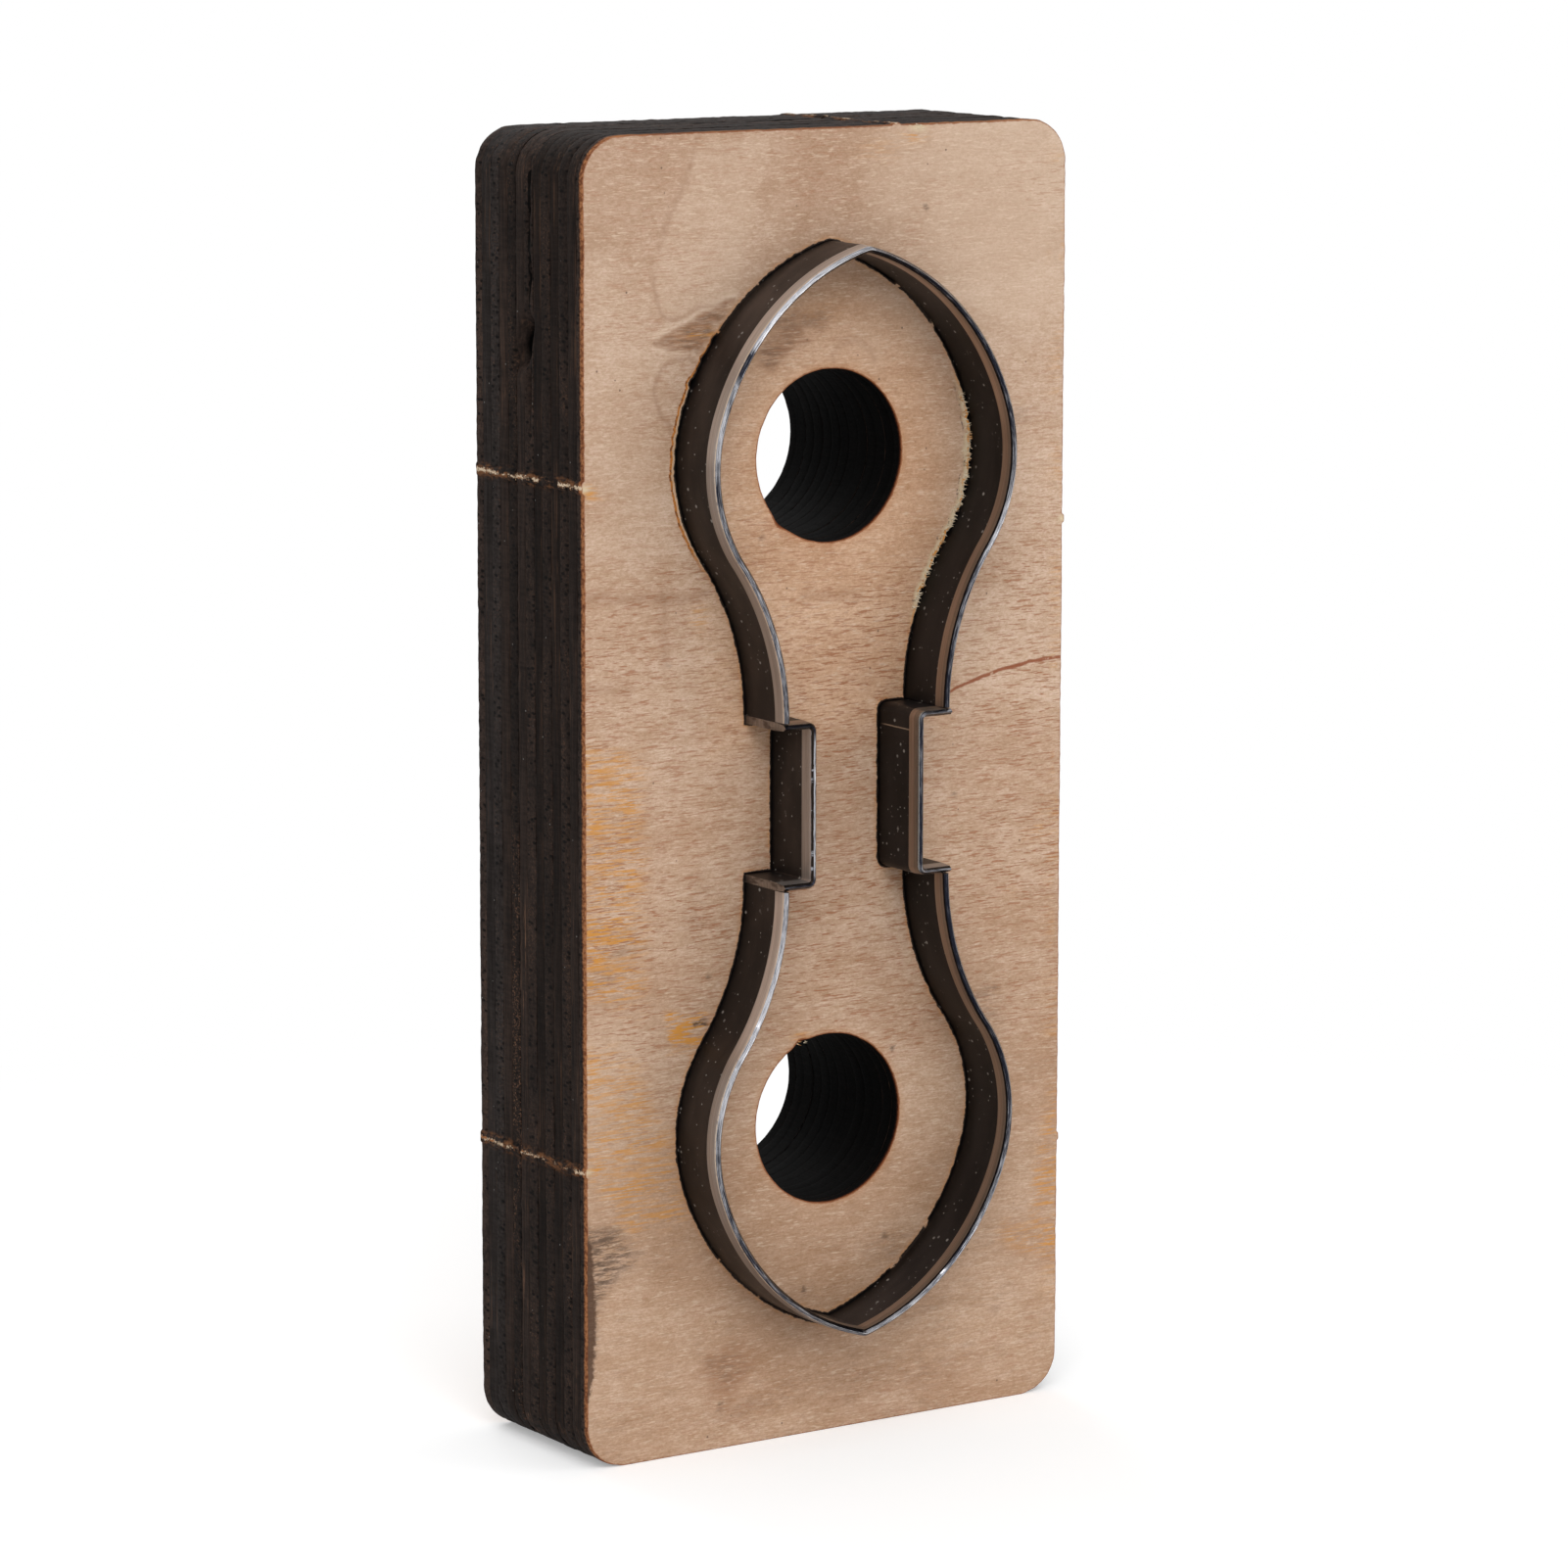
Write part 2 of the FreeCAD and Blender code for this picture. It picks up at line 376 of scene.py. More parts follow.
@dataclass(frozen=True)
class BladeOutline:
    """The rules' centre lines: tip bend, flank, shoulder and neck of a lobe, and the notch between lobes."""

    rule_thickness: float = 0.71
    kerf_clearance: float = 0.02
    butt_gap: float = 0.03
    lobe_middle: float = 29.25
    tip_height: float = 47.4
    half_width: float = 15.35
    end_half_width: float = 8.35
    flank_radius: float = 21.0
    shoulder_radius: float = 14.0
    notch_half_width: float = 5.6
    notch_half_height: float = 6.95
    notch_bend_radius: float = 0.5
    spacing: float = 0.3

    @property
    def half_kerf(self) -> float:
        """Half the width of the slot that holds a rule."""
        return self.rule_thickness / 2 + self.kerf_clearance

    @property
    def leg_end(self) -> float:
        """How far out the notch rule's legs reach, flush with the outside of the lobes."""
        return self.end_half_width + self.rule_thickness / 2

    def lobe_half(self, tip_radius: float, gap: float) -> tuple:
        """The right half of an upper lobe, parted at its bridge.

        The arcs are tangent: the flank's centre lies flank_radius less the neighbour's radius from both
        neighbours' centres, and the neck's arc ends upright at the notch rule.

        Args:
            tip_radius: The radius of the bend at the tip.
            gap: The bridge's width along the flank.

        Returns:
            The line from the tip to the bridge, the line over the bridge, and the line to the notch.
        """
        end_height = self.notch_half_height + self.rule_thickness / 2 + self.butt_gap
        tip = np.array([0.0, self.tip_height - tip_radius])
        shoulder = np.array([self.half_width - self.shoulder_radius, self.lobe_middle])
        reach_tip = self.flank_radius - tip_radius
        reach_shoulder = self.flank_radius - self.shoulder_radius
        way = shoulder - tip
        span = float(np.linalg.norm(way))
        along = (reach_tip ** 2 - reach_shoulder ** 2 + span ** 2) / (2 * span)
        across = math.sqrt(reach_tip ** 2 - along ** 2)
        flank = tip + (along * way + across * np.array([way[1], -way[0]])) / span
        side = self.end_half_width - shoulder[0]
        rise = self.lobe_middle - end_height
        spare = self.shoulder_radius - side
        neck_radius = (side ** 2 + rise ** 2 - self.shoulder_radius ** 2) / (2 * spare)
        neck = np.array([self.end_half_width + neck_radius, end_height])
        tip_turn = math.degrees(math.atan2(*(tip - flank)[::-1]))
        shoulder_turn = math.degrees(math.atan2(*(shoulder - flank)[::-1]))
        neck_turn = math.degrees(math.atan2(*(neck - shoulder)[::-1]))
        middle = (tip_turn + shoulder_turn) / 2
        half_gap = math.degrees(math.asin(gap / 2 / self.flank_radius))
        cap = joined([
            bend(tip, tip_radius, 90, tip_turn, False, self.spacing / 2),
            bend(flank, self.flank_radius, tip_turn, middle + half_gap, False, self.spacing),
        ])
        over = bend(flank, self.flank_radius, middle + half_gap, middle - half_gap, False, self.spacing)
        tail = joined([
            bend(flank, self.flank_radius, middle - half_gap, shoulder_turn, False, self.spacing),
            bend(shoulder, self.shoulder_radius, shoulder_turn, neck_turn, False, self.spacing),
            bend(neck, neck_radius, 180 + neck_turn, 180, True, self.spacing),
        ])
        return cap, over, tail

    def notch(self, leg_end: float) -> Line:
        """The right notch rule from its upper leg's end to its lower leg's: a square bracket.

        Args:
            leg_end: How far out the legs reach.

        Returns:
            The sampled line.
        """
        radius = self.notch_bend_radius
        height = self.notch_half_height
        bend_x = self.notch_half_width + radius
        upper = joined([
            run((leg_end, height), (bend_x, height), (0, -1), self.spacing),
            bend((bend_x, height - radius), radius, 90, 180, True, self.spacing / 2),
            run((self.notch_half_width, height - radius), (self.notch_half_width, 0.0), (1, 0), self.spacing),
        ])
        return joined([upper, upper.mirrored(down=True)])

    def slots(self, upper_tip: float, lower_tip: float, bridge: float) -> list:
        """The four kerfs between the bridges, as rings run with the wood on their left.

        Args:
            upper_tip: The upper lobe's tip bend radius.
            lower_tip: The lower lobe's tip bend radius.
            bridge: The bridges' width.

        Returns:
            The rings: upper cap, lower cap, right side and left side.
        """
        half = self.half_kerf
        upper_cap, _, upper_tail = self.lobe_half(upper_tip, bridge)
        lower_cap, _, lower_tail = self.lobe_half(lower_tip, bridge)
        caps = []
        for cap, down in ((upper_cap, False), (lower_cap, True)):
            whole = joined([cap.mirrored(across=True), cap])
            ring = np.concatenate([whole.offset(half), whole.offset(-half)[::-1]])
            caps.append((ring * np.array([1.0, -1.0]))[::-1] if down else ring)
        lower = lower_tail.mirrored(down=True)
        inner, outer = (np.concatenate([
            upper_tail.offset(away)[:-1],
            self.notch(self.end_half_width + away).offset(away),
            lower.offset(away)[1:],
        ]) for away in (-half, half))
        right = np.concatenate([outer, inner[::-1]])
        left = (right * np.array([-1.0, 1.0]))[::-1]
        return caps + [right, left]


# Materials


class Graph:
    """A material's node tree, with one short method for each kind of node that the finishes use."""

    def __init__(self, name: str) -> None:
        """Starts an empty material with that name.

        Args:
            name: The material's name.
        """
        self.material = bpy.data.materials.new(name)
        self.material.use_nodes = True
        self.tree = self.material.node_tree
        self.tree.nodes.clear()
        self.place = self.node("ShaderNodeTexCoord").outputs["Object"]

    def node(self, kind: str, **settings: object) -> bpy.types.Node:
        """A new node of a kind, with its settings.

        Args:
            kind: The node's type.
            settings: Its attributes by name.

        Returns:
            The new node.
        """
        made = self.tree.nodes.new(kind)
        for key, value in settings.items():
            setattr(made, key, value)
        return made

    def put(self, socket: Socket, value: object) -> None:
        """Links a socket to another, or sets its value.

        Args:
            socket: The input.
            value: Another node's output, or a plain value.
        """
        if isinstance(value, Socket):
            self.tree.links.new(value, socket)
        else:
            socket.default_value = value

    def math(self, operation: str, first: object, second: object = 0.0, third: object = 0.0,
             clamp: bool = False) -> Socket:
        """One sum: an operation on two or three numbers or sockets.

        Args:
            operation: The operation's name.
            first: Its first value.
            second: Its second value.
            third: Its third value.
            clamp: Whether the result is kept between 0 and 1.

        Returns:
            The result.
        """
        made = self.node("ShaderNodeMath", operation=operation, use_clamp=clamp)
        for socket, value in zip(made.inputs, (first, second, third)):
            self.put(socket, value)
        return made.outputs[0]

    def times(self, first: object, second: object) -> Socket:
        """The product of two values."""
        return self.math("MULTIPLY", first, second)

    def plus(self, first: object, second: object) -> Socket:
        """The sum of two values."""
        return self.math("ADD", first, second)

    def less(self, first: object, second: object) -> Socket:
        """The first value less the second."""
        return self.math("SUBTRACT", first, second)

    def scaled(self, value: object, factor: object, added: object) -> Socket:
        """A value times a factor, and something added."""
        return self.math("MULTIPLY_ADD", value, factor, added)

    def shaken(self, value: object, noise: object, amount: float) -> Socket:
        """A value moved by noise, to either side by up to half the amount."""
        return self.plus(value, self.times(self.less(noise, 0.5), amount))

    def stretched(self, scale: tuple | float, shift: tuple = STILL) -> Socket:
        """Coordinates in millimetres, stretched by one scale or by one for each axis.

        Args:
            scale: Waves for each millimetre.
            shift: How far the pattern is moved.

        Returns:
            The coordinates.
        """
        made = self.node("ShaderNodeMapping")
        self.put(made.inputs["Vector"], self.place)
        scales = scale if isinstance(scale, tuple) else (scale,) * 3
        made.inputs["Scale"].default_value = [value / MM for value in scales]
        made.inputs["Location"].default_value = shift
        return made.outputs[0]

    def pattern(self, scale: tuple | float, shift: tuple, detail: float = 3.0, rough: float = 0.5,
                bent: float = 0.0) -> Socket:
        """Fractal noise over stretched coordinates."""
        return self.noise(self.stretched(scale, shift), detail, rough, bent)

    def noise(self, vector: object, detail: float, rough: float, bent: float = 0.0) -> Socket:
        """Fractal noise at scale one, from 0 to 1.

        Args:
            vector: The coordinates.
            detail: How many finer layers it has.
            rough: How strong the finer layers are.
            bent: How far it is twisted.

        Returns:
            The noise.
        """
        made = self.node("ShaderNodeTexNoise")
        self.put(made.inputs["Vector"], vector)
        made.inputs["Scale"].default_value = 1.0
        made.inputs["Detail"].default_value = detail
        made.inputs["Roughness"].default_value = rough
        made.inputs["Distortion"].default_value = bent
        return made.outputs["Fac"]

    def dots(self, vector: object, radius: float) -> Socket:
        """Small round dots, one in each cell: 1 inside the radius and 0 outside it.

        Args:
            vector: The coordinates.
            radius: The dots' radius in cells.

        Returns:
            The dots.
        """
        made = self.node("ShaderNodeTexVoronoi")
        self.put(made.inputs["Vector"], vector)
        made.inputs["Scale"].default_value = 1.0
        return self.ease(made.outputs["Distance"], radius, radius * 0.5)

    def ease(self, value: object, low: float, high: float, top: float = 1.0) -> Socket:
        """A smooth step from 0 at low to top at high.

        Args:
            value: The value that it follows.
            low: Where the step starts.
            high: Where it ends.
            top: The result there.

        Returns:
            The step.
        """
        made = self.node("ShaderNodeMapRange", interpolation_type="SMOOTHSTEP")
        self.put(made.inputs["Value"], value)
        for key, number in (("From Min", low), ("From Max", high), ("To Min", 0.0), ("To Max", top)):
            made.inputs[key].default_value = number
        return made.outputs["Result"]

    def blend(self, factor: object, first: object, second: object, how: str = "MIX") -> Socket:
        """Two colours mixed by a factor.

        Args:
            factor: How much of the second colour shows.
            first: The first colour.
            second: The second colour.
            how: The way of mixing.

        Returns:
            The mixed colour.
        """
        made = self.node("ShaderNodeMix", data_type="RGBA", blend_type=how)
        self.put(made.inputs["Factor"], factor)
        for key, value in (("A", first), ("B", second)):
            socket = next(s for s in made.inputs if s.name == key and s.type == "RGBA")
            self.put(socket, value if isinstance(value, Socket) else (*value, 1.0))
        return next(s for s in made.outputs if s.type == "RGBA")

    def value(self, name: str) -> Socket:
        """A named value of the mesh."""
        return self.node("ShaderNodeAttribute", attribute_name=name).outputs["Fac"]

    def toned(self, colour: object, value: object, low: float, high: float, dark: tuple,
              light: tuple) -> Socket:
        """A colour multiplied by a tone, which goes from dark at low to light at high."""
        tone = self.blend(self.ease(value, low, high), dark, light)
        return self.blend(1.0, colour, tone, "MULTIPLY")

    def tinted(self, factor: object, colour: object, tone: tuple) -> Socket:
        """A colour multiplied by a tone as far as a factor says."""
        return self.blend(factor, colour, self.blend(1.0, colour, tone, "MULTIPLY"))

    def axes(self) -> tuple:
        """The x, y and z of the place on the part, in millimetres.

        Returns:
            The three values.
        """
        made = self.node("ShaderNodeSeparateXYZ")
        self.put(made.inputs[0], self.place)
        return tuple(self.math("MULTIPLY", out, 1 / MM) for out in made.outputs)

    def near(self, value: object, middle: float, half: float, soft: float) -> Socket:
        """1 where a value is within half of the middle, falling to 0 over the soft edge."""
        gap = self.math("ABSOLUTE", self.less(value, middle))
        return self.ease(gap, half + soft, half)

    def finish(self, colour: object, rough: object, metal: object = 0.0, specular: float = 0.5,
               height: object = None, depth: float = 0.0) -> bpy.types.Material:
        """Ends the tree in one shader.

        Args:
            colour: The base colour.
            rough: The roughness.
            metal: How metallic it is.
            specular: The level of its plain reflection.
            height: The bump's height, from 0 to 1.
            depth: What a height of 1 stands for, in millimetres.

        Returns:
            The finished material.
        """
        shader = self.node("ShaderNodeBsdfPrincipled")
        self.put(shader.inputs["Base Color"], colour)
        self.put(shader.inputs["Roughness"], rough)
        self.put(shader.inputs["Metallic"], metal)
        shader.inputs["Specular IOR Level"].default_value = specular
        if height is not None:
            bump = self.node("ShaderNodeBump")
            bump.inputs["Strength"].default_value = 1.0
            bump.inputs["Distance"].default_value = depth * MM
            self.put(bump.inputs["Height"], height)
            self.put(shader.inputs["Normal"], bump.outputs[0])
        self.put(self.node("ShaderNodeOutputMaterial").inputs[0], shader.outputs[0])
        return self.material


class Grain(Enum):
    """Which way a ply's fibres run."""

    ACROSS = "across"
    UPRIGHT = "upright"

    def stretch(self, fine: float, long: float, deep: float) -> tuple:
        """The scale of a pattern that is drawn out along the fibres."""
        return (long, deep, fine) if self is Grain.ACROSS else (fine, deep, long)


@dataclass(frozen=True)
class SandedBirch:
    """The sanded face of an outer veneer, with its figure, pores, stains and scorched rims.

    The distances to the kerfs, the holes and the outer rim are painted on the mesh in millimetres, so
    the scorched lines there are as fine as the noise that shakes them.
    """

    name: str
    pale: tuple = (0.590, 0.418, 0.305)
    dark: tuple = (0.500, 0.328, 0.222)
    pore: tuple = (0.345, 0.150, 0.075)
    light: tuple = (0.700, 0.540, 0.410)
    amber: tuple = (0.590, 0.265, 0.055)
    soot: tuple = (0.105, 0.066, 0.045)
    tan: tuple = (0.375, 0.205, 0.118)
    vein: tuple = (0.270, 0.135, 0.072)
    rust: tuple = (0.430, 0.160, 0.036)
    orange: tuple = (0.645, 0.262, 0.045)
    # The black of the line by the kerf: partly char, partly painted shade of the gap beside the blade.
    char_and_gap_shade: tuple = (0.009, 0.006, 0.005)
    straw: tuple = (0.640, 0.520, 0.345)
    shift: tuple = (0.0, 0.0, 0.0)
    toast: float = 0.22
    streak: bool = True

    def material(self) -> bpy.types.Material:
        """The material: bands, strokes and specks along the grain, then the mesh's own painted values.

        Returns:
            The finished material.
        """
        g = Graph(self.name)
        _, _, z = g.axes()
        broad = g.pattern((0.045, 1.0, 0.10), self.shift, 3.0, 0.55, 0.4)
        mottle = g.pattern((0.25, 1.0, 0.9), self.shift, 3.0, 0.6, 0.3)
        drawn = g.pattern((0.8, 1.0, 7.0), self.shift, 4.0, 0.65, 0.1)
        short = g.pattern((2.3, 1.0, 4.6), self.shift, 4.0, 0.65)
        fibre = g.scaled(g.less(short, drawn), g.ease(z, 60.0, 78.0, 0.85), drawn)
        speck = g.pattern((3.6, 1.0, 7.0), self.shift, 3.0, 0.7)
        colour = g.blend(g.ease(broad, 0.32, 0.68), self.dark, self.pale)
        for noise, low, high in ((mottle, (0.93, 0.905, 0.87), (1.05, 1.07, 1.10)),
                                 (fibre, (0.90, 0.865, 0.80), (1.07, 1.09, 1.13)),
                                 (speck, (0.87, 0.83, 0.77), (1.10, 1.13, 1.18))):
            colour = g.toned(colour, noise, 0.28, 0.72, low, high)
        # Painted shade: the face is darkened towards the top, against the key lamp's stronger light there,
        # and darkened and warmed towards the bottom for the fall of light down the face.
        for factor, tone in ((g.ease(z, 80.0, 108.0), (0.87, 0.85, 0.84)),
                             (g.ease(z, 70.0, 8.0), (0.91, 0.865, 0.815)),
                             (g.value("warm"), (1.04, 0.93, 0.82))):
            colour = g.tinted(factor, colour, tone)
        colour = g.blend(g.value("pale"), colour, self.light)
        streaky = g.scaled(g.ease(g.pattern((0.5, 1.0, 4.5), (7.1, 0.0, 3.3)), 0.40, 0.58), 0.65, 0.35)
        colour = g.blend(g.math("MULTIPLY", g.value("tan"), streaky, clamp=True), colour, self.tan)
        strokes = g.pattern((0.75, 1.0, 7.6), (3.1, 0.0, 7.7), 2.5, 0.55, 0.15)
        crowd = g.pattern((0.09, 1.0, 0.14), (1.3, 0.0, 2.9), 2.0, 0.5)
        crowd = g.scaled(g.near(z, 56.0, 14.0, 18.0), 0.52, g.ease(crowd, 0.40, 0.68, 0.30))
        pores = g.math("MULTIPLY", g.ease(strokes, 0.550, 0.620), g.plus(crowd, 0.10), clamp=True)
        colour = g.blend(pores, colour, self.pore)
        pale_strokes = g.pattern((1.0, 1.0, 7.5), (8.6, 0.0, 1.9), 2.5, 0.55)
        colour = g.blend(g.ease(pale_strokes, 0.56, 0.70, 0.50), colour, self.light)
        pin = g.times(g.dots(g.stretched(0.42, self.shift), 0.055),
                      g.ease(g.pattern(0.5, STILL, 2.0), 0.42, 0.55, 0.75))
        colour = g.blend(pin, colour, (0.10, 0.055, 0.035))
        colour = g.blend(g.times(g.value("vein"), g.ease(mottle, 0.10, 0.45)), colour, self.vein)
        flecks = g.pattern((0.45, 1.0, 6.0), (9.4, 0.0, 4.1), 3.0, 0.6, 0.25)
        amber = g.math("MULTIPLY", g.ease(flecks, 0.48, 0.57), g.value("amber"), clamp=True)
        colour = g.blend(amber, colour, self.amber)
        smear = g.pattern((0.7, 1.0, 4.2), (5.4, 0.0, 1.1), 4.0, 0.68, 0.3)
        soot = g.math("MULTIPLY", g.ease(smear, 0.36, 0.62), g.value("soot"), clamp=True)
        colour = g.blend(soot, colour, self.soot)
        if self.streak:
            colour = g.blend(self.curved_streak(g), colour, (0.260, 0.075, 0.030))
        colour = g.blend(g.value("straw"), colour, self.straw)
        colour = self.scorched(g, colour)
        height = g.scaled(fibre, 0.6, g.times(speck, 0.5))
        height = g.less(height, g.times(pores, 0.5))
        rough = g.scaled(speck, 0.2, 0.55)
        return g.finish(colour, rough, 0.0, 0.20, height, 0.03)

    def scorched(self, g: Graph, colour: object) -> Socket:
        """The face's colour with what the laser did at the rims, painted shade in the gap beside the blade,
        and the torn wood beside the upper lobe.

        Args:
            g: The material's graph.
            colour: The wood's colour without it.

        Returns:
            The colour with the scorched lines and the painted shade by the kerf laid over it.
        """
        kerf, hole, rim = (g.value(name) for name in ("kerf_gap", "hole_gap", "rim_gap"))
        crumb = g.pattern(2.8, (4.4, 0.0, 2.2), 3.0, 0.65)
        slow = g.pattern(0.55, (1.2, 0.0, 6.2), 3.0, 0.6)
        shake = g.times(g.less(crumb, 0.5), 0.24)
        near_kerf = g.plus(kerf, shake)
        broad = g.math("MINIMUM", kerf, hole)
        colour = g.blend(g.times(g.ease(broad, 0.80, 0.05), self.toast), colour, self.rust)
        seam, flap = g.value("seam"), g.value("flap")
        ragged = g.scaled(g.less(slow, 0.5), 0.35, g.plus(g.value("seam_gap"), shake))
        off_line = g.less(kerf, ragged)
        colour = g.blend(g.times(g.ease(off_line, 0.15, -0.15), g.times(seam, 0.28)), colour, self.straw)
        line = g.times(g.near(off_line, 0.0, 0.08, 0.07), seam)
        brown = g.blend(g.ease(crumb, 0.45, 0.60), (0.470, 0.175, 0.040), (0.200, 0.070, 0.020))
        colour = g.blend(g.times(line, g.ease(slow, 0.22, 0.34)), colour, brown)
        cream = g.times(g.ease(near_kerf, 0.75, 0.35), g.ease(crumb, 0.30, 0.50, 0.85))
        colour = g.blend(g.times(cream, flap), colour, self.straw)
        fleck = g.pattern((1.1, 1.1, 0.55), (2.6, 0.0, 9.2), 3.0, 0.65)
        thick = g.scaled(g.less(1.35, flap), g.times(slow, 0.18), 0.01)
        band = g.near(g.less(near_kerf, thick), 0.11, 0.06, 0.05)
        band = g.times(band, g.ease(fleck, 0.46, 0.53))
        colour = g.blend(g.times(band, g.scaled(flap, 0.80, 0.18)), colour, self.orange)
        grey = g.times(g.near(near_kerf, 0.62, 0.14, 0.14), g.ease(fleck, 0.52, 0.46))
        grey = g.times(g.times(grey, g.ease(crumb, 0.50, 0.62, 0.85)), flap)
        colour = g.blend(grey, colour, (0.115, 0.080, 0.062))
        for gap, width, level in ((hole, 0.14, 0.85), (rim, 0.11, 0.70)):
            edge = g.ease(g.plus(gap, shake), width, width - 0.08, level)
            colour = g.blend(edge, colour, (0.255, 0.085, 0.030))
        creep = g.scaled(g.value("creep"), 1.5, g.times(crumb, -0.9))
        colour = g.blend(g.ease(g.less(creep, rim), 0.0, 0.35, 0.9), colour, (0.085, 0.042, 0.024))
        # The black line by the kerf is partly char and partly painted shade of the gap between wood and
        # blade.
        char_and_gap_shade = g.ease(g.less(near_kerf, thick), 0.035, -0.035, 0.97)
        return g.blend(char_and_gap_shade, colour, self.char_and_gap_shade)

    def curved_streak(self, g: Graph) -> Socket:
        """A thin mineral line at the right: its height rises as two thirds of a falling parabola.

        Args:
            g: The material's graph.

        Returns:
            How strongly the line shows.
        """
        x, _, z = g.axes()
        share = g.math("DIVIDE", g.less(x, 12.4), 12.6, clamp=True)
        rise = g.times(g.times(share, g.less(2.0, share)), 2.3)
        wobble = g.pattern((0.5, 1.0, 0.5), STILL, 3.0, 0.6)
        path = g.plus(g.scaled(wobble, 0.5, 64.65), rise)
        thin = g.near(g.less(z, path), 0.0, 0.09, 0.14)
        start = g.ease(x, 12.2, 13.0, 0.92)
        breaks = g.ease(g.pattern((1.6, 1.0, 1.6), (2.0, 0.0, 8.0)), 0.20, 0.42)
        return g.times(thin, g.times(start, breaks))


@dataclass(frozen=True)
class CharredBirch:
    """A ply's laser-cut wall: char with pits or drawn-out streaks, and pale wood where tabs tore."""

    name: str
    grain: Grain
    tone: float = 1.0
    brown: float = 0.0
    tear: float = 0.5
    shift: tuple = (0.0, 0.0, 0.0)
    rim: bool = False
    cracked: bool = False
    cool: bool = False
    black: tuple = (0.0068, 0.0048, 0.0041)
    grey: tuple = (0.0265, 0.0215, 0.0200)
    lighter: tuple = (0.0290, 0.0190, 0.0152)
    amber: tuple = (0.300, 0.125, 0.050)
    raw: tuple = (0.640, 0.505, 0.360)

    def material(self) -> bpy.types.Material:
        """The material: the fibres' streaks or pits, then rim, crack, tears and dust.

        Returns:
            The finished material.
        """
        g = Graph(self.name)
        x, y, z = g.axes()
        beam = g.pattern((3.4, 0.35, 3.4), self.shift, 4.0, 0.6)
        fibre = g.pattern(self.grain.stretch(3.2, 0.14, 3.0), self.shift, 4.0, 0.62)
        patch = g.pattern((0.12, 0.45, 0.12), self.shift, 3.0, 0.55)
        crumb = g.pattern(5.0, self.shift, 4.0, 0.65)
        share = g.scaled(beam, 0.35, g.times(fibre, 0.65))
        light = g.scaled(g.ease(patch, 0.25, 0.75), 0.4, g.ease(share, 0.38, 0.64, 0.6))
        dark = tuple(value * self.tone for value in self.black)
        pale = tuple(value * self.tone for value in (self.grey if self.cool else self.lighter))
        colour = g.blend(light, dark, pale)
        long_fibre = g.pattern(self.grain.stretch(5.5, 0.10, 4.0), self.shift, 3.0, 0.6)
        lit = g.scaled(g.ease(z, 60.0, 44.0), self.brown, 0.20)
        glow = g.times(g.ease(long_fibre, 0.52, 0.66), g.times(g.ease(patch, 0.44, 0.62), lit))
        colour = g.blend(glow, colour, (0.190, 0.100, 0.060))
        if self.grain is Grain.ACROSS:
            pits = g.dots(g.stretched((1.2, 0.95, 2.0), self.shift), 0.36)
            colour = g.blend(g.times(pits, 0.88), colour, (0.0018, 0.0015, 0.0014))
        if self.rim:
            edge = g.shaken(y, crumb, 0.55)
            drift = g.pattern(0.05, (2.0, 5.0, 1.0), 3.0, 0.6)
            wide = g.scaled(drift, 0.55, FRONT_Y + 0.10)
            red = g.blend(g.ease(fibre, 0.38, 0.62), (0.150, 0.050, 0.022), (0.380, 0.160, 0.066))
            inside = g.ease(g.less(edge, wide), 0.18, -0.12, 0.92)
            colour = g.blend(inside, colour, red)
        if self.cracked:
            on_left = g.math("LESS_THAN", x, -21.0)
            colour = g.blend(g.times(self.crack(g, y, z, crumb), on_left), colour, (0.0010, 0.0009, 0.0008))
        dust = g.dots(g.stretched(0.6, self.shift), 0.05)
        colour = g.blend(g.times(dust, 0.8), colour, (0.20, 0.19, 0.18))
        torn, halo = self.tears(g, x, z, crumb)
        fade = g.pattern((1.7, 0.6, 1.7), (6.0, 1.0, 2.0), 3.0, 0.65)
        colour = g.blend(g.times(halo, g.ease(fade, 0.45, 0.65, 0.5)), colour, self.amber)
        colour = g.blend(torn, colour, g.blend(g.ease(fade, 0.40, 0.52), self.amber, self.raw))
        height = g.scaled(share, 0.8, g.times(crumb, 0.3))
        rough = g.scaled(crumb, 0.3, 0.58)
        return g.finish(colour, rough, 0.0, 0.045, height, 0.09)

    def crack(self, g: Graph, y: object, z: object, crumb: object) -> Socket:
        """The crack in the left wall: a wandering line behind the sixth ply, and the pocket below it.

        Args:
            g: The material's graph.
            y: The place from front to back.
            z: The place up the board.
            crumb: Fine noise.

        Returns:
            How black the crack makes each place.
        """
        path = g.plus(g.pattern(0.30, (1.0, 0.0, 3.0), 3.0, 0.65), FRONT_Y + 8.10)
        width = g.scaled(g.ease(g.pattern(0.45, STILL), 0.45, 0.70), 0.16, 0.05)
        gap = g.math("ABSOLUTE", g.less(y, path))
        line = g.ease(g.less(gap, width), 0.07, -0.02, 0.92)
        line = g.times(line, g.times(g.ease(z, 89.0, 91.0), g.ease(z, 114.2, 112.5)))
        up = g.math("DIVIDE", g.less(g.shaken(z, crumb, 0.9), 97.0), 1.75)
        back = g.scaled(g.less(z, 97.0), -0.30, FRONT_Y + 9.5)
        back = g.math("DIVIDE", g.less(y, back), 0.85)
        far = g.scaled(up, up, g.times(back, back))
        return g.math("MAXIMUM", line, g.ease(far, 1.25, 0.75))

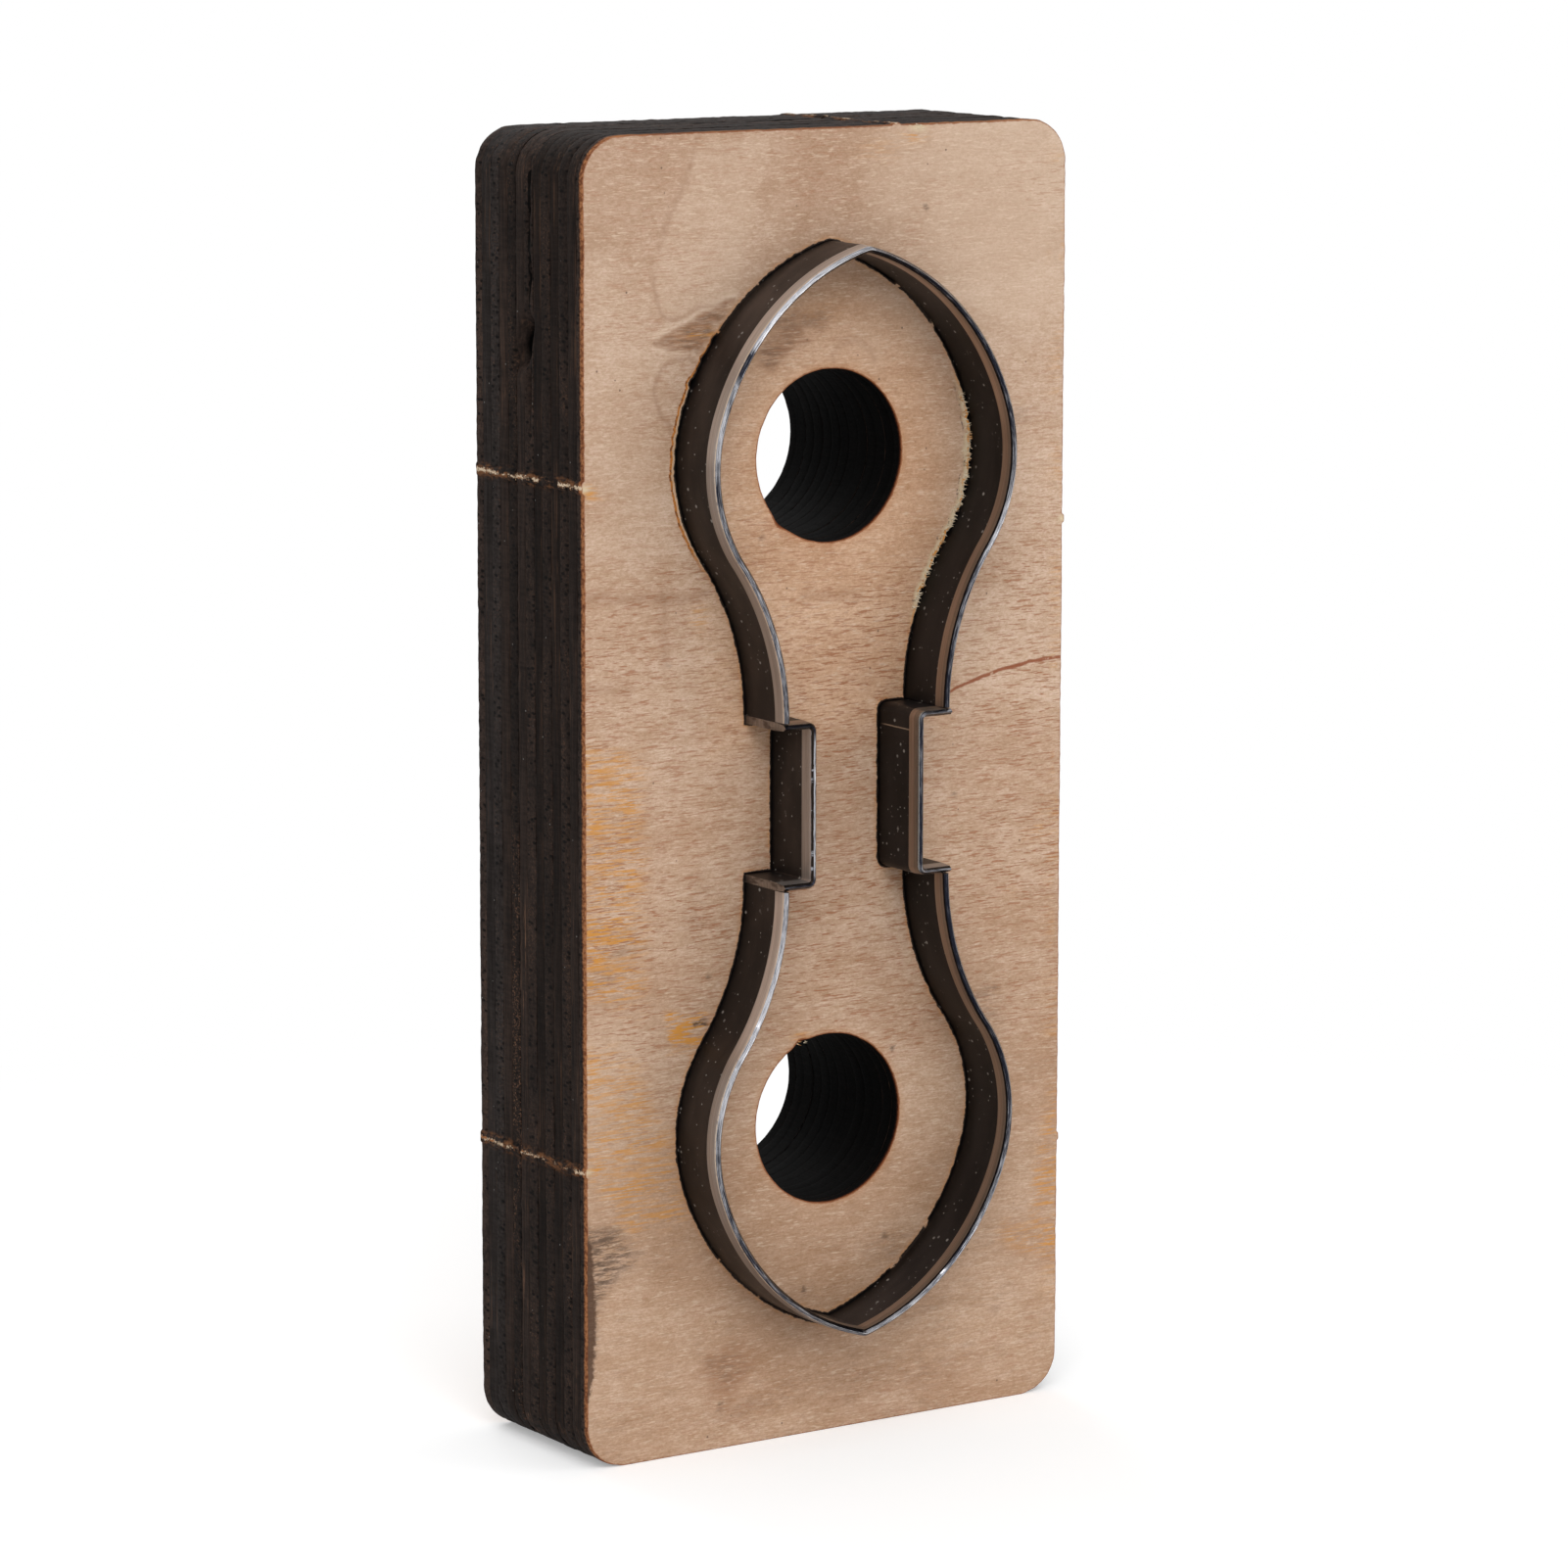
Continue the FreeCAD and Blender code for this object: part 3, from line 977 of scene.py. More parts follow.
    def tears(self, g: Graph, x: object, z: object, crumb: object) -> tuple:
        """Where the tabs tore: ragged lines at their heights on each side, and one on the top.

        Args:
            g: The material's graph.
            x: The place across the board.
            z: The place up the board.
            crumb: Fine noise.

        Returns:
            The torn line, and the scorched band round it.
        """
        up, along = g.shaken(z, crumb, 0.9), g.shaken(x, crumb, 0.9)
        left, right = g.math("LESS_THAN", x, -24.6), g.math("GREATER_THAN", x, 24.6)
        on_top = g.math("GREATER_THAN", z, 114.6)
        torn, halo = 0.0, 0.0
        for value, middle, side in ((up, 85.5, left), (up, 26.4, left), (up, 79.6, right), (up, 23.5, right),
                                    (along, 6.9, on_top)):
            torn = g.math("MAXIMUM", torn, g.times(g.near(value, middle, 0.07, 0.10), side))
            halo = g.math("MAXIMUM", halo, g.times(g.near(value, middle, 0.15, 0.75), side))
        patchy = g.pattern((1.3, 1.1, 1.3), (4.0, 2.0, 6.0), 3.0, 0.7)
        start = 0.60 - 0.28 * self.tear
        return g.times(torn, g.ease(patchy, start, start + 0.10)), halo


@dataclass(frozen=True)
class CharredBore:
    """The ejection holes' and kerfs' walls: the same char, painted darker as shade, with a red front rim."""

    name: str = "charred_bore"
    # Painted shade: these blacks are several times darker than the outer walls' char, for the shade inside
    # the holes and kerfs.
    black: tuple = (0.0017, 0.0015, 0.0014)
    brown: tuple = (0.0040, 0.0031, 0.0027)

    def material(self) -> bpy.types.Material:
        """The material: the beam's lines along y, broken at each glue line, and the rim.

        Returns:
            The finished material.
        """
        g = Graph(self.name)
        _, y, _ = g.axes()
        beam = g.pattern((2.6, 0.12, 2.6), STILL, 4.0, 0.6)
        patch = g.pattern((0.25, 0.7, 0.25), (3.0, 1.0, 4.0), 3.0, 0.6)
        crumb = g.pattern(5.0, STILL, 3.0, 0.6)
        light = g.times(g.ease(beam, 0.40, 0.70), g.ease(patch, 0.35, 0.70))
        colour = g.blend(light, self.black, self.brown)
        edge = g.shaken(y, crumb, 0.30)
        colour = g.blend(g.ease(edge, FRONT_Y + 0.40, FRONT_Y + 0.12, 0.85), colour, (0.050, 0.016, 0.009))
        colour = g.blend(g.ease(edge, FRONT_Y + 0.16, FRONT_Y + 0.04, 0.8), colour, (0.210, 0.066, 0.026))
        rough = g.scaled(crumb, 0.3, 0.60)
        return g.finish(colour, rough, 0.0, 0.03, beam, 0.06)


@dataclass(frozen=True)
class RootLine:
    """The line where the tip bevel meets the flank on one side: its colour, its place and its half width."""

    # A pale colour is a painted glint on the crease between flank and bevel.
    colour: tuple
    middle: float
    half: float


@dataclass(frozen=True)
class RuleSteel:
    """Steel rule: black oxide body, ground flank and polished tip bevel, told apart by their girth.

    The strip's own map runs round the section in millimetres, so a place's distance from the cutting
    edge tells its band, and its sign tells the leather's side from the outside. Three values painted
    along the strip are painted light: they say how bright the bevel's painted reflection, the flank's
    painted sheen and the body's painted highlight are there.
    """

    name: str
    edge_girth: float
    root_outer: RootLine
    root_inner: RootLine
    bevel_width: float = 0.42
    flank_end: float = 1.70
    body: tuple = (0.0088, 0.0064, 0.0056)
    bloom: tuple = (0.0205, 0.0142, 0.0115)
    ground: tuple = (0.365, 0.340, 0.325)
    bright: tuple = (0.690, 0.685, 0.725)
    navy: tuple = (0.0150, 0.0165, 0.0260)
    scratch_height: float = 62.98

    def material(self) -> bpy.types.Material:
        """The material: the three bands, with lines that run along the strip and dust on the body.

        Returns:
            The finished material.
        """
        g = Graph(self.name)
        strip = g.node("ShaderNodeUVMap", uv_map="StripUV").outputs[0]
        parts = g.node("ShaderNodeSeparateXYZ")
        g.put(parts.inputs[0], strip)
        grit = g.pattern(3.2, STILL, 3.0, 0.6)
        chatter = self.lines(g, strip, 1.5, 6.5, 24.0)
        shake = g.times(g.less(chatter, 0.5), 0.10)
        side = g.less(parts.outputs[1], self.edge_girth)
        reach = g.math("ABSOLUTE", side)
        torn_reach = g.plus(reach, shake)
        outer = g.math("GREATER_THAN", side, 0.0)
        fine = self.lines(g, strip, 0.30, 17.0)
        coarse = self.lines(g, strip, 0.06, 5.0)
        at_flank = g.ease(g.scaled(shake, 0.3, reach), self.flank_end + 0.03, self.flank_end - 0.03)
        at_bevel = g.ease(torn_reach, self.bevel_width + 0.025, self.bevel_width - 0.02)
        flank = g.toned(self.ground, coarse, 0.3, 0.7, (0.80, 0.79, 0.77), (1.1, 1.1, 1.1))
        flank = g.toned(flank, fine, 0.25, 0.75, (0.84, 0.83, 0.82), (1.1, 1.1, 1.1))
        # Painted shade and reflection: on the leather's side the flank is painted darker and browner than
        # outside.
        inward = g.blend(g.ease(reach, 1.06, 0.98), (0.95, 0.80, 0.69), (0.77, 0.68, 0.60))
        flank = g.blend(1.0, flank, g.blend(outer, inward, (1.02, 1.02, 1.03)), "MULTIPLY")
        # Painted sheen: the flank is lightened along the strip by the painted sheen value.
        flank = g.blend(1.0, flank, self.level(g, "sheen"), "MULTIPLY")
        # Painted reflection: the bevel runs from navy to bright, and the cutting edge from black to a painted
        # glint, as the painted glint value rises.
        painted_gleam = g.shaken(g.value("painted_glint"), self.lines(g, strip, 0.20, 11.0), 1.0)
        painted_gleam = g.shaken(painted_gleam, self.lines(g, strip, 0.75, 9.0, 12.0), 1.15)
        painted_glint = g.ease(painted_gleam, 0.08, 0.92)
        bevel = g.blend(painted_glint, self.navy, self.bright)
        keen = g.blend(painted_glint, (0.030, 0.031, 0.038), (0.88, 0.89, 0.94))
        bevel = g.blend(g.ease(reach, 0.09, 0.03, 0.85), bevel, keen)
        line = g.blend(outer, self.root_inner.colour, self.root_outer.colour)
        metal = g.blend(self.root(g, strip, torn_reach, outer), g.blend(at_bevel, flank, bevel), line)
        colour = g.blend(at_flank, self.dark_body(g, grit, reach, outer), metal)
        level = g.math("MULTIPLY_ADD", at_bevel, 0.08, g.times(at_flank, 0.92), clamp=True)
        rough = g.less(g.scaled(fine, 0.14, 0.36), g.times(at_bevel, 0.16))
        height = g.scaled(fine, 0.6, g.times(grit, 0.4))
        return g.finish(colour, rough, level, 0.17, height, 0.008)

    def root(self, g: Graph, strip: object, torn_reach: object, outer: object) -> Socket:
        """Where the root line shows: within its half width of its place, and dotted on the outside.

        Args:
            g: The material's graph.
            strip: The strip's map.
            torn_reach: The distance from the cutting edge, slightly shaken.
            outer: One on the outside, nothing on the leather's side.

        Returns:
            How strongly the line marks each place.
        """
        near, far = self.root_inner, self.root_outer
        middle = g.scaled(outer, far.middle - near.middle, near.middle)
        half = g.scaled(outer, far.half - near.half, near.half)
        gap = g.math("ABSOLUTE", g.less(torn_reach, middle))
        dotted = g.ease(self.lines(g, strip, 1.6, 0.4), 0.33, 0.42)
        shown = g.math("MAXIMUM", dotted, g.less(1.0, outer))
        return g.times(g.ease(g.less(gap, half), 0.045, 0.0), shown)

    def level(self, g: Graph, name: str) -> Socket:
        """A painted value as a grey colour that another is multiplied by.

        Args:
            g: The material's graph.
            name: The value's name.

        Returns:
            The grey.
        """
        grey = g.node("ShaderNodeCombineXYZ")
        for socket in grey.inputs:
            g.put(socket, g.value(name))
        return grey.outputs[0]

    def lines(self, g: Graph, strip: object, along: float, across: float, lean: float = 0.0) -> Socket:
        """Noise drawn out along the strip: waves for each millimetre along and across it, and its lean.

        Args:
            g: The material's graph.
            strip: The strip's map.
            along: Waves for each millimetre along it.
            across: Waves for each millimetre across it.
            lean: The lines' lean in degrees.

        Returns:
            The noise.
        """
        drawn = g.node("ShaderNodeMapping")
        g.put(drawn.inputs["Vector"], strip)
        drawn.inputs["Scale"].default_value = (along, across, 1.0)
        drawn.inputs["Rotation"].default_value = (0.0, 0.0, math.radians(lean))
        return g.noise(drawn.outputs[0], 4.0, 0.6)

    def dark_body(self, g: Graph, grit: object, reach: object, outer: object) -> Socket:
        """The oxide's colour: painted shade and highlight by side and by turn, black by the board as soot and
        painted shade, with rubbed patches, dust and one scratch.

        Args:
            g: The material's graph.
            grit: Fine noise.
            reach: The distance from the cutting edge.
            outer: One on the outside, nothing on the leather's side.

        Returns:
            The body's colour.
        """
        x, _, z = g.axes()
        wear = g.pattern((0.16, 0.35, 0.16), STILL, 3.0, 0.55)
        body = g.blend(g.ease(wear, 0.34, 0.70), self.body, self.bloom)
        # Painted light: the body is painted darker and cooler on the leather's side, and lighter where the
        # painted highlight value is high, near the turns.
        body = g.blend(1.0, body, g.blend(outer, (0.86, 0.98, 1.14), (1.0, 1.0, 1.0)), "MULTIPLY")
        body = g.blend(1.0, body, self.level(g, "body"), "MULTIPLY")
        # Black by the board: partly soot, partly painted shade where the rule meets the wood.
        soot_and_shade = g.ease(g.scaled(grit, 0.6, reach), 4.6, 6.5)
        body = g.blend(soot_and_shade, body, (0.0030, 0.0024, 0.0024))
        body = g.blend(g.ease(grit, 0.70, 0.80, 0.35), body, (0.06, 0.050, 0.044))
        smudge = g.pattern(1.9, (7.0, 2.0, 4.0), 2.0, 0.5, 0.6)
        zone = g.ease(g.pattern(0.25, (1.0, 2.0, 8.0), 2.0), 0.42, 0.60)
        smudge = g.times(g.ease(smudge, 0.68, 0.76, 0.75), zone)
        body = g.blend(smudge, body, (0.115, 0.100, 0.092))
        for cell, radius, shift in ((0.70, 0.13, 3.0), (1.35, 0.13, 9.0)):
            dust = g.dots(g.stretched(cell, (shift, 1.0, 2.0)), radius)
            some = g.ease(g.pattern(0.3, (shift, 2.0, 5.0), 2.0), 0.40, 0.54, 0.80)
            body = g.blend(g.times(dust, some), body, (0.28, 0.26, 0.24))
        scratch = g.near(g.plus(z, g.times(grit, 0.06)), self.scratch_height, 0.03, 0.05)
        on_face = g.times(g.math("GREATER_THAN", x, 5.0), g.math("LESS_THAN", x, 5.4))
        on_face = g.times(on_face, g.ease(reach, 6.2, 5.0))
        return g.blend(g.times(g.times(scratch, on_face), 0.85), body, (0.27, 0.19, 0.13))


@dataclass(frozen=True)
class ShearedSteel:
    """The rule's sheared ends, where the bare steel shows."""

    name: str = "sheared_steel"
    steel: tuple = (0.250, 0.215, 0.190)

    def material(self) -> bpy.types.Material:
        """The material: grey steel with shear lines across the strip, brown patches, and darker towards the
        board.

        Returns:
            The finished material.
        """
        g = Graph(self.name)
        _, y, _ = g.axes()
        shear = g.pattern((1.0, 9.0, 1.0), STILL, 3.0, 0.6)
        patch = g.pattern((2.0, 0.6, 2.0), (3.0, 3.0, 3.0), 3.0, 0.6)
        colour = g.toned(self.steel, shear, 0.25, 0.75, (0.68, 0.67, 0.66), (1.25, 1.25, 1.25))
        colour = g.blend(g.ease(patch, 0.50, 0.66, 0.75), colour, (0.055, 0.043, 0.036))
        colour = g.blend(g.ease(y, EDGE_Y + 4.5, FRONT_Y, 0.7), colour, (0.060, 0.046, 0.040))
        return g.finish(colour, g.scaled(shear, 0.2, 0.35), 0.85, 0.4, shear, 0.015)


@dataclass(frozen=True)
class TornWood:
    """Torn birch fibres, pale at their tips and amber where the laser warmed them."""

    name: str = "torn_birch"
    pale: tuple = (0.66, 0.56, 0.41)
    amber: tuple = (0.46, 0.22, 0.07)

    def material(self) -> bpy.types.Material:
        """The material: amber patches on pale wood, with fine fibre lines.

        Returns:
            The finished material.
        """
        g = Graph(self.name)
        patch = g.pattern(0.7, STILL, 3.0, 0.6)
        fine = g.pattern(8.0, STILL, 3.0, 0.6)
        colour = g.blend(g.ease(patch, 0.50, 0.62), self.pale, self.amber)
        colour = g.toned(colour, fine, 0.3, 0.7, (0.8, 0.78, 0.75), (1.1, 1.1, 1.1))
        return g.finish(colour, g.scaled(fine, 0.2, 0.6), 0.0, 0.2, fine, 0.01)


# The board


@dataclass(frozen=True)
class Tab:
    """A torn tab's place on the board's outline."""

    centre: tuple
    outward: tuple


@dataclass
class Board:
    """The plywood board: thirteen plies with charred walls, cut through by the kerfs and two holes."""

    width: float = 50.0
    height: float = 115.0
    corner_radius: float = 3.8
    ply_count: int = 13
    face_veneer: float = 1.1
    front_core_plies: int = 6
    hole_radius: float = 7.5
    bridge: float = 6.0
    upper_tip: float = 1.4
    lower_tip: float = 0.6
    tab_stub: float = 0.25
    tab_half_root: float = 0.45
    tab_half_tip: float = 0.30
    cracked: tuple = (6, 7, 8)
    tones: tuple = (1.55, 1.0, 1.15, 0.75, 1.05, 0.70, 1.25, 1.30, 0.78, 1.30, 1.45, 1.20, 1.9)
    tears: tuple = (0.9, 0.35, 0.45, 0.1, 0.0, 0.4, 0.65, 0.6, 0.4, 0.45, 0.9, 0.75, 1.0)
    brown_plies: tuple = (8, 9)
    cool_plies: tuple = (11, 12)
    figured: tuple = (
        (-19.5, -8.5, 88.0, 102.5, 0.26),
        (-8.5, 5.5, 93.0, 101.0, 0.34),
        (-18.0, -11.0, 35.0, 40.0, 0.24),
    )
    tabs: tuple = (
        Tab((-25.0, -31.1), (-1, 0)),
        Tab((-25.0, 28.0), (-1, 0)),
        Tab((25.0, -34.0), (1, 0)),
        Tab((25.0, 22.1), (1, 0)),
        Tab((6.9, 57.5), (0, 1)),
    )
    spacing: float = 0.36
    outline: BladeOutline = field(default_factory=BladeOutline)

    def depths(self) -> Array:
        """The y of each boundary between plies, from the front face to the back.

        Returns:
            The boundaries' depths, one more than there are plies.
        """
        thickness = BACK_Y - FRONT_Y
        core = (thickness - 2 * self.face_veneer) / (self.ply_count - 2)
        steps = [self.face_veneer] + [core] * (self.ply_count - 2) + [self.face_veneer]
        return FRONT_Y + np.concatenate([[0.0], np.cumsum(steps)])

    def rim(self) -> Array:
        """The board's outline, run with the wood on its left, with more points where the tabs tore.

        Returns:
            The outline's ring.
        """
        side, end, r = self.width / 2, self.height / 2, self.corner_radius
        x, z = side - r, end - r
        lines = [
            run((-x, -end), (x, -end), (0, -1), self.spacing),
            bend((x, -z), r, -90, 0, False, self.spacing),
            run((side, -z), (side, z), (1, 0), self.spacing),
            bend((x, z), r, 0, 90, False, self.spacing),
            run((x, end), (-x, end), (0, 1), self.spacing),
            bend((-x, z), r, 90, 180, False, self.spacing),
            run((-side, z), (-side, -z), (-1, 0), self.spacing),
            bend((-x, -z), r, 180, 270, False, self.spacing),
        ]
        ring = joined(lines).points[:-1]
        fine = np.linspace(-0.8, 0.8, 17)[:, None]
        for tab in self.tabs:
            way = np.array([-tab.outward[1], tab.outward[0]], float)
            near = np.linalg.norm(ring - np.array(tab.centre), axis=1) < 1.0
            start = int(np.argmax(near)) if not near[0] else 0
            ring = np.insert(ring[~near], start, np.array(tab.centre) + fine * way, axis=0)
        return ring

    def hole(self, height: float) -> Array:
        """An ejection hole's ring, run with the wood on its left."""
        return bend((0.0, height), self.hole_radius, 360, 0, False, self.spacing).points[:-1]

    def stub(self, ring: Array, number: int) -> Array:
        """How far the torn stubs stand out: a trapezium over each tab, of its own height in each ply.

        Args:
            ring: The board's outline.
            number: The ply's number.

        Returns:
            The distance for each point.
        """
        out = np.zeros(len(ring))
        rng = np.random.default_rng(400 + number)
        for tab in self.tabs:
            gap = np.linalg.norm(ring - np.array(tab.centre), axis=1) + rng.uniform(-0.05, 0.15)
            share = (self.tab_half_root + 0.1 - gap) / (self.tab_half_root - self.tab_half_tip)
            out += np.clip(share, 0, 1) * self.tab_stub * rng.uniform(0.35, 0.95)
        return out

    def rows(self, number: int) -> Array:
        """The depths at which a ply's outer wall has points: closer together where the wall is cracked.

        Args:
            number: The ply's number.

        Returns:
            The rows' depths.
        """
        low, high = self.depths()[number - 1:number + 1]
        inner = (0.07, 0.28, 0.70, 1.11, 1.32) if number not in self.cracked else (
            0.07, 0.16, 0.28, 0.45, 0.65, 0.85, 1.05, 1.20, 1.32)
        scale = (high - low) / 1.39
        return np.array([low] + [low + step * scale for step in inner] + [high])

    def wear(self, ring: Array, y: Array, number: int, amount: float) -> Array:
        """How far the laser ate into a wall: a step of its own in each ply, a groove at each glue line,
        and waves along the wall.

        Args:
            ring: The ring's points.
            y: The rows' depths.
            number: The ply's number.
            amount: The scale of the whole, in millimetres.

        Returns:
            Distances into the wood, by row and point.
        """
        along, length = ring_lengths(ring)
        rng = np.random.default_rng(60 + number)
        step = rng.uniform(0.05, 0.45)
        edge = np.minimum(y - y[0], y[-1] - y)
        groove = np.exp(-((edge / 0.10) ** 2)) * rng.uniform(0.05, 0.40)
        slow = wander(along, length, (length / 40, length / 6), 80 + number) * 0.12
        fast = wander(along, length, (length / 3, length / 0.9), 120 + number) * 0.10
        lean = (y - y.mean())[:, None] * rng.uniform(-0.25, 0.25)
        return np.clip(step + groove[:, None] + slow + fast + lean, 0.0, 1.4) * amount

    def knot_hole(self, ring: Array, y: Array) -> Array:
        """The void in the left wall: a narrow crack along a glue line that opens into a deep pocket.

        Args:
            ring: The board's outline.
            y: The rows' depths.

        Returns:
            Distances into the wood, by row and point.
        """
        height = ring[:, 1] + MID_HEIGHT
        on_left = (ring[:, 0] < -24.5).astype(float)
        deep = (y - FRONT_Y)[:, None]
        pocket_y = 9.5 - 0.30 * (height - 97.0)
        pocket = np.exp(-np.abs((height - 97.0) / 1.75) ** 3) * np.exp(-np.abs((deep - pocket_y) / 0.85) ** 3)
        tail = np.exp(-(((height - 93.2) / 2.0) ** 2)) * np.exp(-(((deep - 8.8) / 0.30) ** 2))
        line = 8.58 + 0.12 * np.sin(height * 0.9) + 0.06 * np.sin(height * 2.3)
        reach = np.clip((height - 88.8) / 2.5, 0, 1) * np.clip((113.0 - height) / 2.0, 0, 1)
        crack = reach * (0.55 + 0.45 * np.sin(height * 1.3)) * np.exp(-(((deep - line) / 0.16) ** 2))
        return (pocket * 2.2 + tail * 0.4 + crack * 0.6) * on_left

    def ragged_kerf(self, ring: Array, seed: int) -> Array:
        """How far the kerf's front rim is chipped back: fine teeth, and torn chips beside the upper lobe.

        Args:
            ring: The kerf's ring.
            seed: The seed of its chips.

        Returns:
            Distances into the wood, one for each point.
        """
        along, length = ring_lengths(ring)
        normals = into_wood(ring)
        height = ring[:, 1] + MID_HEIGHT
        fine = wander(along, length, (length / 1.6, length / 0.6), seed)
        slow = wander(along, length, (length / 30, length / 4), seed + 1)
        torn = (ring[:, 0] > 8.5) * (normals[:, 0] < -0.2) * np.clip((height - 71.5) / 3, 0, 1)
        torn *= np.clip((92.5 - height) / 4, 0, 1)
        left = (ring[:, 0] < -9.0) * (normals[:, 0] < -0.2) * np.interp(height, (80, 84, 90, 93, 101, 104),
                                                                         (0, 0.35, 0.35, 1, 1, 0))
        chips = np.clip(wander(along, length, (length / 4, length / 0.9), seed + 2) + 0.2, 0, 1.6)
        return np.clip(0.05 + 0.015 * slow + 0.025 * fine + chips * (torn * 0.18 + left * 0.20), 0.01, 0.45)

    def face_points(self, rings: list) -> Array:
        """Points for the painted face: rows that follow each ring, then even fields, finer at the figure.

        Args:
            rings: The face's rings, run with the wood on their left.

        Returns:
            The points, none of them closer to a ring than its first row.
        """
        rows = np.concatenate([ring + into_wood(ring) * distance for ring in rings
                               for distance in (0.07, 0.16, 0.3, 0.5, 0.8, 1.2)])
        edges = np.concatenate(rings)
        side, end, pitch = self.width / 2, self.height / 2, 0.55
        field_points = lattice(-side + 0.4, side, -end + 0.4, end, pitch)
        fields = []
        for x0, x1, low, high, fine in self.figured:
            inside = (field_points[:, 0] > x0) & (field_points[:, 0] < x1)
            inside &= (field_points[:, 1] > low - MID_HEIGHT) & (field_points[:, 1] < high - MID_HEIGHT)
            field_points = field_points[~inside]
            fields.append(lattice(x0, x1, low - MID_HEIGHT, high - MID_HEIGHT, fine))
        field_points = np.concatenate([field_points] + fields)
        keep = nearest(field_points, edges) > 1.38
        return np.concatenate([rows[nearest(rows, edges) > 0.05], field_points[keep]])

    def ply(self, number: int) -> Shape:
        """One ply: a wall round each ring, closed at front and back by flat faces.

        Args:
            number: The ply's number, 1 at the front.

        Returns:
            The ply's shape, with its front face painted if it is the front veneer.
        """
        depths = self.depths()
        low, high = depths[number - 1], depths[number]
        first, last = number == 1, number == self.ply_count
        y = self.rows(number)
        rim = self.rim()
        holes = [self.hole(self.outline.lobe_middle), self.hole(-self.outline.lobe_middle)]
        slots = self.outline.slots(self.upper_tip, self.lower_tip, self.bridge)
        bite = self.wear(rim, y, number, 0.16) + self.knot_hole(rim, y) - self.stub(rim, number)
        bottom = np.clip((rim[:, 1] + self.height / 2) / 0.05, 0, 1)
        walls = [(rim, y, bite * np.where(bite > 0, bottom, 1.0))]
        for index, ring in enumerate(holes):
            walls.append((ring, y, self.wear(ring, y, number + 20 * (index + 1), 0.10)))
        for index, ring in enumerate(slots):
            chip = self.ragged_kerf(ring, 900 + 10 * index + number)
            rows, share = (low, high), (0.0, 0.0)
            if first:
                rows, share = (low, low + 0.12, low + 0.5, high), (1.0, 0.6, 0.0, 0.0)
            if last:
                rows, share = (low, high - 0.4, high - 0.1, high), (0.0, 0.0, 0.3, 0.6)
            walls.append((ring, np.array(rows), np.array(share)[:, None] * chip))
        if first:
            walls = [self.front_rim(wall, index) for index, wall in enumerate(walls)]
        return self.closed_ply(walls, first, last)

    def front_rim(self, wall: tuple, index: int) -> tuple:
        """A wall with its front rim broken: the outer rim slightly, the holes' rims with chips.

        Args:
            wall: A ring with its rows' depths and distances.
            index: The wall's number.

        Returns:
            The wall with its rim broken.
        """
        ring, y, bite = wall
        if index > 2:
            return wall
        along, length = ring_lengths(ring)
        fine = np.abs(wander(along, length, (length / 4, length / 0.8), 310 + index))
        bite = bite.copy()
        bite[0] += 0.02 + 0.025 * fine
        if index > 0:
            for centre, size, depth in (((-4.8, 24.1), 0.7, 0.5), ((-2.7, -22.6), 0.6, 0.45)):
                chip = np.exp(-((np.linalg.norm(ring - np.array(centre), axis=1) / size) ** 2)) * depth
                bite[0] += chip
                bite[1] += chip * 0.7
                bite[2] += chip * 0.3
        return ring, y, bite

    def closed_ply(self, walls: list, first: bool, last: bool) -> Shape:
        """Puts walls and flat faces together into one closed shape.

        Args:
            walls: Each ring with its rows' depths and the distances into the wood.
            first: Whether the front face is the painted one.
            last: Whether the back face is the painted one.

        Returns:
            The closed shape.
        """
        points, faces, fronts, backs = [], [], [], []
        count = 0
        for ring, y, bite in walls:
            normals = into_wood(ring)
            flat = ring[None] + normals[None] * bite[..., None]
            n, rows = len(ring), len(y)
            grid = np.empty((rows, n, 3))
            grid[..., 0] = flat[..., 0]
            grid[..., 1] = y[:, None]
            grid[..., 2] = flat[..., 1] + MID_HEIGHT
            number = count + np.arange(rows * n).reshape(rows, n)
            turn = np.roll(number, -1, 1)
            quads = np.stack([number[:-1], number[1:], turn[1:], turn[:-1]], -1).reshape(-1, 4)
            faces.append(quads)
            points.append(grid.reshape(-1, 3))
            fronts.append(number[0])
            backs.append(number[-1])
            count += rows * n
        material = [np.full(len(part), 0 if index == 0 else 1) for index, part in enumerate(faces)]
        everything = [part.tolist() for part in faces]
        for loops, painted, flip in ((fronts, first, False), (backs, last, True)):
            placed = np.concatenate(points)
            rings = [placed[loop][:, [0, 2]] - np.array([0.0, MID_HEIGHT]) for loop in loops]
            extra = self.face_points(rings) if painted else np.empty((0, 2))
            triangles = filled(rings, loops, extra, count)
            if painted:
                depth = placed[loops[0][0], 1]
                added = np.column_stack([extra[:, 0], np.full(len(extra), depth), extra[:, 1] + MID_HEIGHT])
                points.append(added)
                count += len(added)
            everything.append((triangles[:, ::-1] if flip else triangles).tolist())
            material.append(np.full(len(triangles), 2 if painted else 0))
        total = np.concatenate(points)
        flat_faces = [face for part in everything for face in part]
        shape = without_loose(Shape(total, flat_faces, np.concatenate(material)))
        if first or last:
            shape.values = FaceMarks(self, back=last).paint(shape.points, walls)
        return shape

